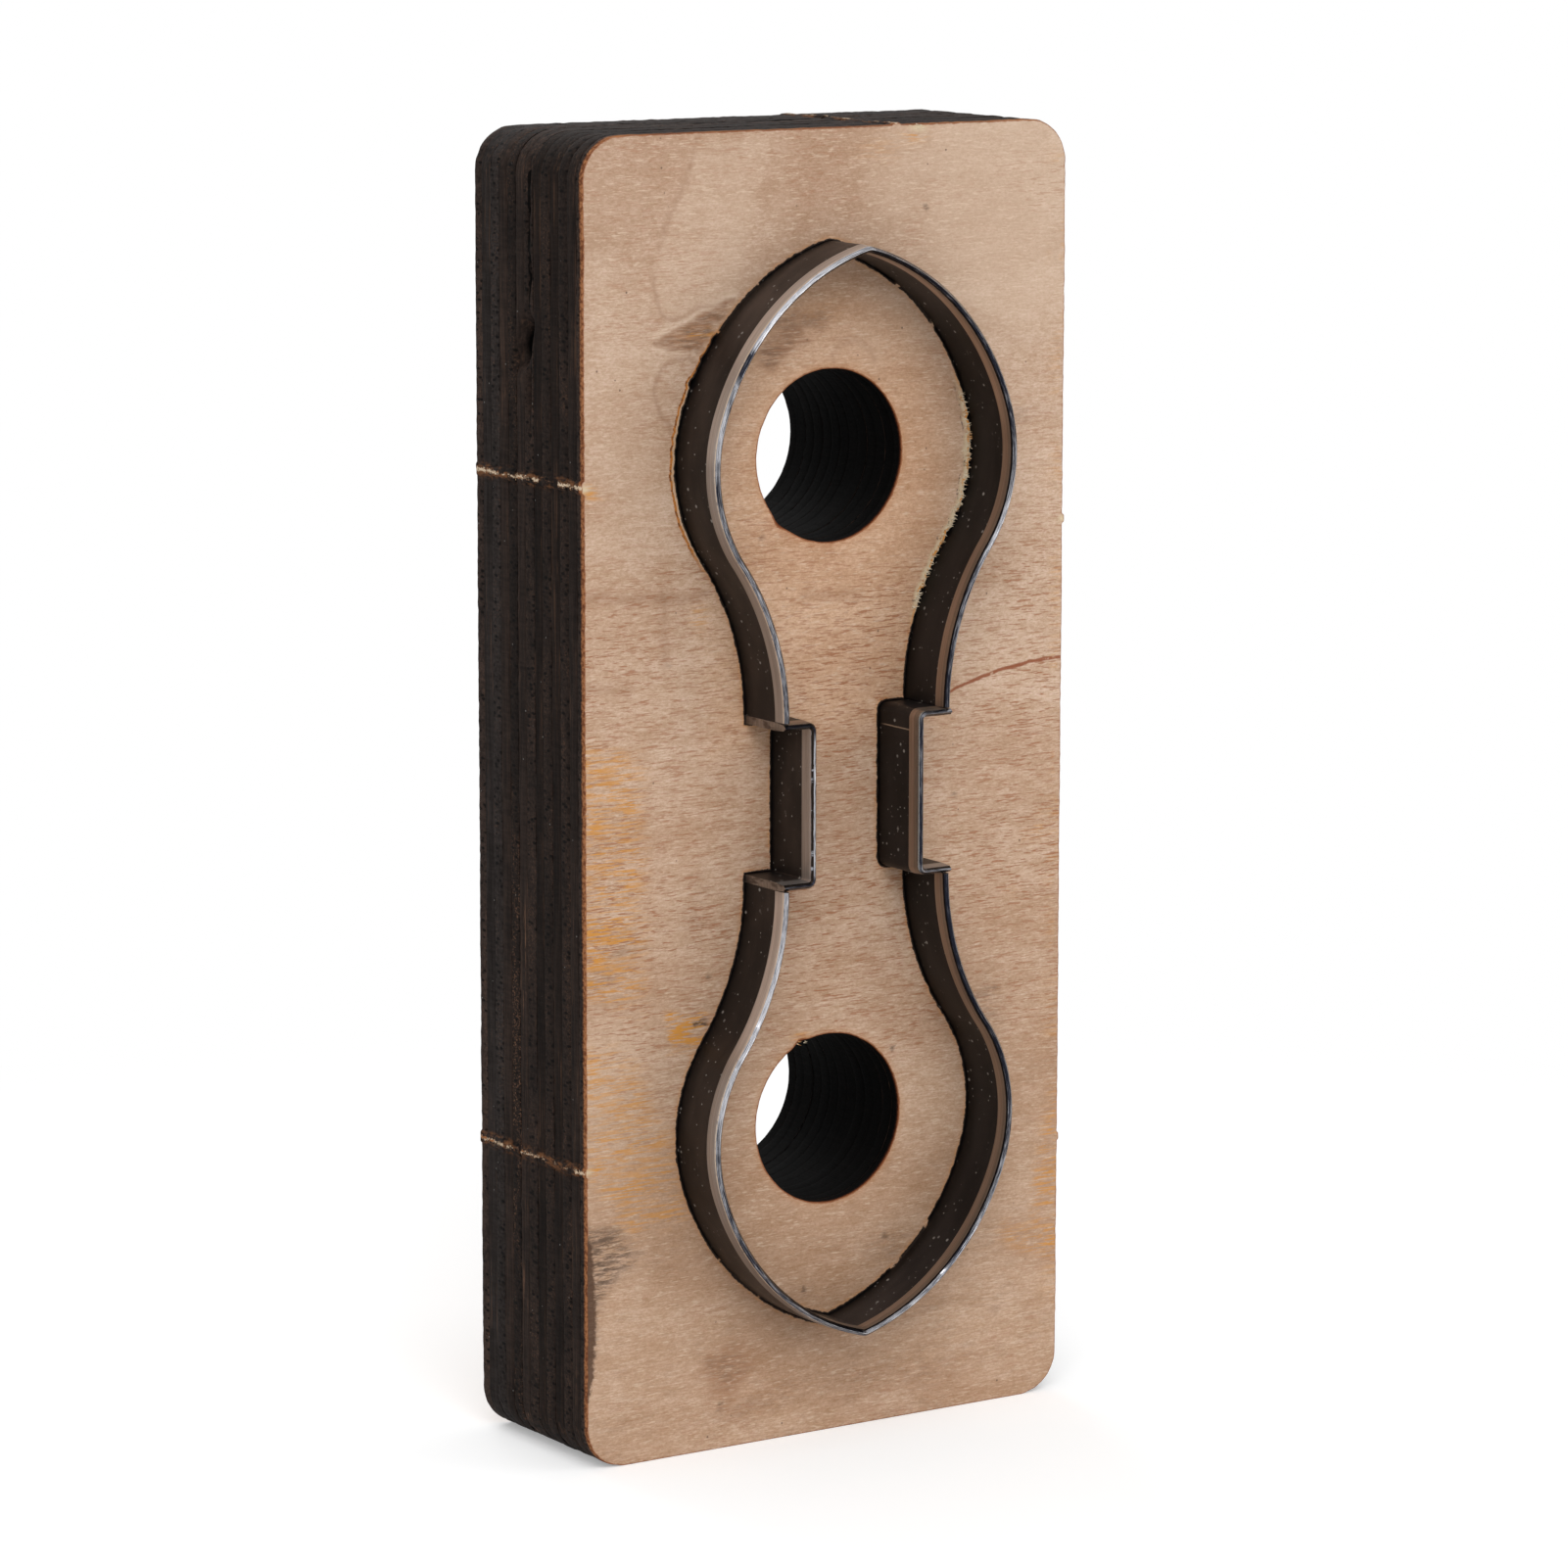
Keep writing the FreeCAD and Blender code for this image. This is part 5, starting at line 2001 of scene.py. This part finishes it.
@dataclass
class Blade:
    """The four strips of steel rule: two lobes and two notches.

    Attributes:
        outside: For each piece, heights and how bright the painted reflection on its outer bevel is there,
            where it faces left.
        inside: The same for its inner bevel on the right side.
        sheen: For each piece, heights and how far a painted sheen lightens its flank there.
        tips: The same for a painted highlight on its black body, which is paler where the strip turns.
    """

    rule_height: float = 23.8
    thickness: float = 0.71
    flank_height: float = 1.55
    bevel_height: float = 0.30
    bevel_root: float = 0.53
    bridge: float = 6.0
    bridge_clearance: float = 0.25
    bridge_corner: float = 1.2
    upper_tip: float = 1.4
    lower_tip: float = 0.6
    edge_break: float = 0.03
    outline: BladeOutline = field(default_factory=lambda: BladeOutline(spacing=0.2))
    outside: dict = field(default_factory=lambda: {
        "upper_lobe": ((64, 0.25), (67, 0.34), (75, 0.34), (82, 0.29), (85.5, 0.27), (88, 0.5), (91, 0.53),
                       (94, 0.33), (95, 0.14), (96.6, 0.12), (97, 0.47), (98.5, 0.55), (100, 0.68),
                       (103, 0.60), (105, 0.50)),
        "lower_lobe": ((10, 0.25), (13, 0.27), (16, 0.24), (19, 0.17), (22, 0.26), (28, 0.33), (31, 0.53),
                       (37, 0.52), (40, 0.62), (43, 0.56), (50, 0.5)),
        "notch": ((50, 0.30), (50.8, 0.10), (51.5, 0.46), (57, 0.5), (63, 0.46), (64.2, 0.10)),
    })
    inside: dict = field(default_factory=lambda: {
        "upper_lobe": ((64, 0.10), (67, 0.12), (70, 0.25), (76, 0.28), (79, 0.42), (82, 0.52), (85, 0.33),
                       (88, 0.26), (91, 0.16), (94, 0.10), (105, 0.10)),
        "lower_lobe": ((10, 0.46), (13, 0.42), (16, 0.18), (19, 0.33), (22, 0.33), (28, 0.24), (31, 0.10),
                       (34, 0.05), (50, 0.05)),
        "notch": ((50.5, 0.35), (51.4, 0.12), (63.6, 0.12), (64.4, 0.35)),
    })
    sheen: dict = field(default_factory=lambda: {
        "upper_lobe": ((64, 1.0), (87, 1.0), (88.5, 1.3), (91, 1.3), (94, 1.15), (97, 1.5), (105, 1.5)),
        "lower_lobe": ((11, 0.85), (14, 0.72), (19, 0.80), (22, 1.0), (35, 1.0), (38, 1.6), (49, 1.6),
                       (51, 1.1)),
        "notch": ((50, 1.0), (65, 1.0)),
    })
    tips: dict = field(default_factory=lambda: {
        "upper_lobe": ((96, 1.0), (101, 1.9), (105, 2.2)),
        "lower_lobe": ((10, 1.9), (15, 1.6), (19, 1.0)),
        "notch": ((50, 0.95), (65, 0.95)),
    })

    def section(self) -> Array:
        """Half the rule's section from base to edge, as rows of half thickness and y.

        Returns:
            The rows.
        """
        half = self.thickness / 2
        flank_y = EDGE_Y + self.flank_height
        tip_y = EDGE_Y + self.bevel_height
        body = np.linspace(BACK_Y - self.edge_break, flank_y + self.edge_break, 7)
        rows = [(half - self.edge_break, BACK_Y)] + [(half, y) for y in body]
        root = self.bevel_root / 2
        rows += [
            (half - 0.003, flank_y - 0.03),
            ((half + root) / 2, (flank_y + tip_y) / 2),
            (root + 0.003, tip_y + 0.03),
            (root - 0.012, tip_y - 0.010),
            (0.030, EDGE_Y + 0.036),
            (0.013, EDGE_Y + 0.012),
            (0.0, EDGE_Y + 0.004),
        ]
        return np.array(rows)

    def edge_girth(self) -> float:
        """The way round half the section, from the base to the cutting edge."""
        return float(np.hypot(*np.diff(self.section(), axis=0).T).sum())

    def strip(self, lines: list, limits: list, seed: int) -> Shape:
        """Carries the section along a line: point plus normal times half thickness, at the section's y.

        Args:
            lines: Stretches of centre line that meet end to end.
            limits: For each stretch, how far back its base reaches at each point.
            seed: The seed of the edge's small nicks.

        Returns:
            The strip, closed at both ends, with a map along it in millimetres.
        """
        points = np.concatenate([line.points for line in lines])
        normals = np.concatenate([line.normals for line in lines])
        limit = np.concatenate(limits)
        half = self.section()
        offsets = np.concatenate([-half[:, 0], half[::-1][1:, 0]])
        depth = np.concatenate([half[:, 1], half[::-1][1:, 1]])
        gaps = np.linalg.norm(np.diff(points, axis=0), axis=1)
        along = np.concatenate([[0.0], np.cumsum(gaps)])
        n, m = len(points), len(offsets)
        y = np.minimum(depth[None], limit[:, None])
        nick = np.clip(wander(along, along[-1], (along[-1] / 6, along[-1] / 0.7), seed) - 0.8, 0, 1) * 0.03
        y[:, depth < EDGE_Y + 0.1] += nick[:, None]
        grid = np.empty((n, m, 3))
        grid[..., 0] = points[:, None, 0] + normals[:, None, 0] * offsets
        grid[..., 1] = y
        grid[..., 2] = points[:, None, 1] + normals[:, None, 1] * offsets + MID_HEIGHT
        number = np.arange(n * m).reshape(n, m)
        turn = np.roll(number, -1, 1)
        quads = np.stack([number[:-1], turn[:-1], turn[1:], number[1:]], -1).reshape(-1, 4)
        girth = np.concatenate([[0.0], np.cumsum(np.hypot(np.diff(offsets), np.diff(depth)))])
        girth_next = np.append(girth[1:], girth[-1] + self.thickness)
        uv = np.empty((n - 1, m, 4, 2))
        uv[..., 0, 0] = uv[..., 1, 0] = along[:-1, None]
        uv[..., 2, 0] = uv[..., 3, 0] = along[1:, None]
        uv[..., 0, 1] = uv[..., 3, 1] = girth
        uv[..., 1, 1] = uv[..., 2, 1] = girth_next
        faces = quads.tolist() + [number[0][::-1].tolist(), number[-1].tolist()]
        ends = np.zeros((2 * m, 2))
        ends[:, 0] = np.tile(offsets, 2)
        ends[:, 1] = np.tile(depth, 2)
        material = np.append(np.zeros(len(quads), int), [1, 1])
        values = {"side": np.tile(np.sign(offsets), n)}
        return Shape(grid.reshape(-1, 3), faces, material, values, np.concatenate([uv.reshape(-1, 2), ends]))

    def painted_gleam(self, shape: Shape, name: str) -> Shape:
        """The shape with its painted light on: each side's painted reflection on the bevel, the flank's
        painted sheen and the body's painted highlight.

        Args:
            shape: The strip.
            name: The piece's name.

        Returns:
            The same strip.
        """
        kind = name if name in self.outside else "notch"
        # Painted light: the bevels' painted reflection, the flank's painted sheen and the body's painted
        # highlight, lighter on the outside than on the leather's side.
        x, z, side = shape.points[:, 0], shape.points[:, 2], shape.values["side"]
        outside, inside = (np.interp(z, *zip(*table[kind])) for table in (self.outside, self.inside))
        outer = np.where(x < 0.4, outside, 0.30)
        inner = np.where(x < -0.4, 0.05, inside)
        at_edge = np.maximum(outer, inner)
        shape.values["painted_glint"] = np.where(side > 0, outer, np.where(side < 0, inner, at_edge))
        sheen, tips = (np.interp(z, *zip(*table[kind])) for table in (self.sheen, self.tips))
        shape.values["sheen"] = np.where(x < 0.4, sheen, np.interp(z, (88.0, 92.0), (1.04, 1.45)))
        shape.values["body"] = tips * np.where(side > 0, 1.25, 0.85)
        return shape

    def bridge_limit(self, line: Line) -> Array:
        """How far back the rule reaches over a bridge: the notch's floor, rounded up at both its sides.

        Args:
            line: The centre line over the bridge.

        Returns:
            One y for each point.
        """
        gaps = np.linalg.norm(np.diff(line.points, axis=0), axis=1)
        along = np.concatenate([[0.0], np.cumsum(gaps)])
        inward = np.minimum(along, along[-1] - along)
        rise = np.clip(self.bridge_corner - inward, 0, None)
        lift = self.bridge_corner - np.sqrt(self.bridge_corner ** 2 - rise ** 2)
        return FRONT_Y - self.bridge_clearance + lift

    def lobe(self, tip_radius: float, down: bool, seed: int) -> Shape:
        """A lobe's strip, notched from its base over both its bridges.

        Args:
            tip_radius: The radius of the bend at its tip.
            down: Whether it is the lower lobe.
            seed: The seed of its nicks.

        Returns:
            The strip.
        """
        gap = self.bridge + 2 * self.bridge_clearance
        cap, over, tail = self.outline.lobe_half(tip_radius, gap)
        lines = [line.mirrored(across=True) for line in (tail, over, cap)] + [cap, over, tail]
        limits = []
        for line, notched in zip(lines, (False, True, False, False, True, False)):
            limits.append(self.bridge_limit(line) if notched else np.full(len(line.points), BACK_Y))
        shape = self.strip(lines, limits, seed)
        if down:
            shape.points[:, 2] = 2 * MID_HEIGHT - shape.points[:, 2]
        return shape

    def notch(self, left: bool, seed: int) -> Shape:
        """A notch rule's strip.

        Args:
            left: Whether it is the left one.
            seed: The seed of its nicks.

        Returns:
            The strip.
        """
        line = self.outline.notch(self.outline.leg_end)
        shape = self.strip([line], [np.full(len(line.points), BACK_Y)], seed)
        if left:
            shape.points[:, 0] *= -1
        return shape

    def build(self) -> list:
        """Builds and dresses the four strips.

        Returns:
            The new objects.
        """
        girth, sheared = self.edge_girth(), ShearedSteel().material()
        # The pale root lines, cream on the lobes' outside and grey on the notches' inside, are painted
        # glints.
        lobe = RuleSteel("lobe_rule_steel", girth, RootLine((0.760, 0.675, 0.560), 0.51, 0.03),
                         RootLine((0.0130, 0.0116, 0.0130), 0.45, 0.09)).material()
        notch = RuleSteel("notch_rule_steel", girth, RootLine((0.020, 0.014, 0.011), 0.28, 0.10),
                          RootLine((0.300, 0.280, 0.260), 0.38, 0.04)).material()
        shapes = {
            "upper_lobe": self.lobe(self.upper_tip, False, 11),
            "lower_lobe": self.lobe(self.lower_tip, True, 12),
            "left_notch": self.notch(True, 13),
            "right_notch": self.notch(False, 14),
        }
        made = []
        for name, shape in shapes.items():
            steel = notch if name.endswith("notch") else lobe
            strip = self.painted_gleam(shape, name).to_object(f"{name}_steel_strip", [steel, sheared], 22.0, weld=True)
            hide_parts(f"{name}_rule")
            log.info("%s stands for %s_rule with %d faces", strip.name, name, len(strip.data.polygons))
            made.append(strip)
        return made


# Studio


@dataclass
class Studio:
    """Camera, floor, lamps and a white surround."""

    camera_place: tuple = (-0.293872, -0.440913, 0.147065)
    yaw: float = -33.598
    pitch: float = 9.6259
    roll: float = 0.0714
    lens: float = 140.4796

    def camera(self) -> None:
        """The camera, turned by yaw, pitch and roll about its own axes."""
        yaw, pitch, roll = (math.radians(v) for v in (self.yaw, self.pitch, self.roll))
        back = Vector((math.sin(yaw) * math.cos(pitch), -math.cos(yaw) * math.cos(pitch), math.sin(pitch)))
        right = (-back).cross(Vector((0, 0, 1))).normalized()
        up = right.cross(-back)
        right, up = right * math.cos(roll) + up * math.sin(roll), up * math.cos(roll) - right * math.sin(roll)
        data = bpy.data.cameras.new("camera")
        data.lens = self.lens
        data.sensor_width = 36.0
        data.clip_start, data.clip_end = 0.01, 50.0
        made = bpy.data.objects.new("camera", data)
        made.matrix_world = Matrix((right, up, back)).transposed().to_4x4()
        made.location = self.camera_place
        bpy.context.scene.collection.objects.link(made)
        bpy.context.scene.camera = made

    def floor(self) -> None:
        """A wide floor whose unshadowed parts look white to the camera and keep the shadow."""
        half = 8.0
        mesh = bpy.data.meshes.new("floor")
        corners = [(-half, -half, 0), (half, -half, 0), (half, half, 0), (-half, half, 0)]
        mesh.from_pydata(corners, [], [(0, 1, 2, 3)])
        made = bpy.data.objects.new("floor", mesh)
        bpy.context.scene.collection.objects.link(made)
        g = Graph("pale_floor")
        x, y, _ = g.axes()
        away = g.math("SQRT", g.scaled(x, x, g.times(y, y)))
        grain = g.pattern(0.02, STILL, 2.0, 0.5)
        diffuse = g.node("ShaderNodeBsdfDiffuse")
        g.put(diffuse.inputs["Color"], g.blend(grain, (0.80, 0.80, 0.80), (0.82, 0.82, 0.82)))
        path = g.node("ShaderNodeLightPath")
        shine = g.math("MAXIMUM", path.outputs["Is Glossy Ray"], path.outputs["Is Transmission Ray"])
        shine = g.math("MAXIMUM", shine, path.outputs["Is Camera Ray"])
        fades = g.times(g.ease(away, 60.0, 170.0), shine)
        near_glow, far_glow = g.node("ShaderNodeEmission"), g.node("ShaderNodeEmission")
        g.put(near_glow.inputs["Strength"], g.times(shine, 0.30))
        g.put(far_glow.inputs["Strength"], 1.0)
        near_floor, total = g.node("ShaderNodeAddShader"), g.node("ShaderNodeMixShader")
        g.put(near_floor.inputs[0], diffuse.outputs[0])
        g.put(near_floor.inputs[1], near_glow.outputs[0])
        g.put(total.inputs[0], fades)
        g.put(total.inputs[1], near_floor.outputs[0])
        g.put(total.inputs[2], far_glow.outputs[0])
        g.put(g.node("ShaderNodeOutputMaterial").inputs[0], total.outputs[0])
        mesh.materials.append(g.material)

    def lamp(self, name: str, place: tuple, target: tuple, size: float, power: float) -> None:
        """A soft square lamp that faces its target.

        Args:
            name: Its name.
            place: Where it stands.
            target: What it faces.
            size: Its width in metres.
            power: Its power in watts.
        """
        data = bpy.data.lights.new(name, "AREA")
        data.size = size
        data.energy = power
        made = bpy.data.objects.new(name, data)
        way = Vector(target) - Vector(place)
        made.location = place
        made.rotation_euler = way.to_track_quat("-Z", "Y").to_euler()
        bpy.context.scene.collection.objects.link(made)

    def world(self) -> None:
        """A white surround for what the camera and the metal see, and a softer level for lighting."""
        world = bpy.data.worlds.new("surround")
        bpy.context.scene.world = world
        world.use_nodes = True
        nodes, links = world.node_tree.nodes, world.node_tree.links
        shine = nodes["Background"]
        shine.inputs["Color"].default_value = (1, 1, 1, 1)
        path = nodes.new("ShaderNodeLightPath")
        seen = path.outputs["Is Camera Ray"]
        for name in ("Is Glossy Ray", "Is Transmission Ray"):
            either = nodes.new("ShaderNodeMath")
            either.operation = "MAXIMUM"
            links.new(seen, either.inputs[0])
            links.new(path.outputs[name], either.inputs[1])
            seen = either.outputs[0]
        level = nodes.new("ShaderNodeMapRange")
        level.inputs["To Min"].default_value = 0.58
        level.inputs["To Max"].default_value = 1.0
        links.new(seen, level.inputs["Value"])
        links.new(level.outputs["Result"], shine.inputs["Strength"])

    def build(self) -> None:
        """Sets the whole studio up."""
        self.camera()
        self.floor()
        self.world()
        self.lamp("key", (-0.45, -0.80, 0.85), (0.0, 0.0, 0.06), 0.80, 7.4)
        self.lamp("fill", (0.85, -0.60, 0.35), (0.0, 0.0, 0.06), 0.60, 2.2)
        self.lamp("back", (0.10, 0.90, 0.70), (0.0, 0.0, 0.06), 0.60, 2.6)
        bpy.context.scene.view_settings.view_transform = "Standard"


def main() -> None:
    """Builds the studio, the board and the blade."""
    logging.basicConfig(level=logging.INFO, format="%(message)s")
    Studio().build()
    Board().build()
    Blade().build()
    TornFibres().build()


if __name__ == "__main__":
    main()
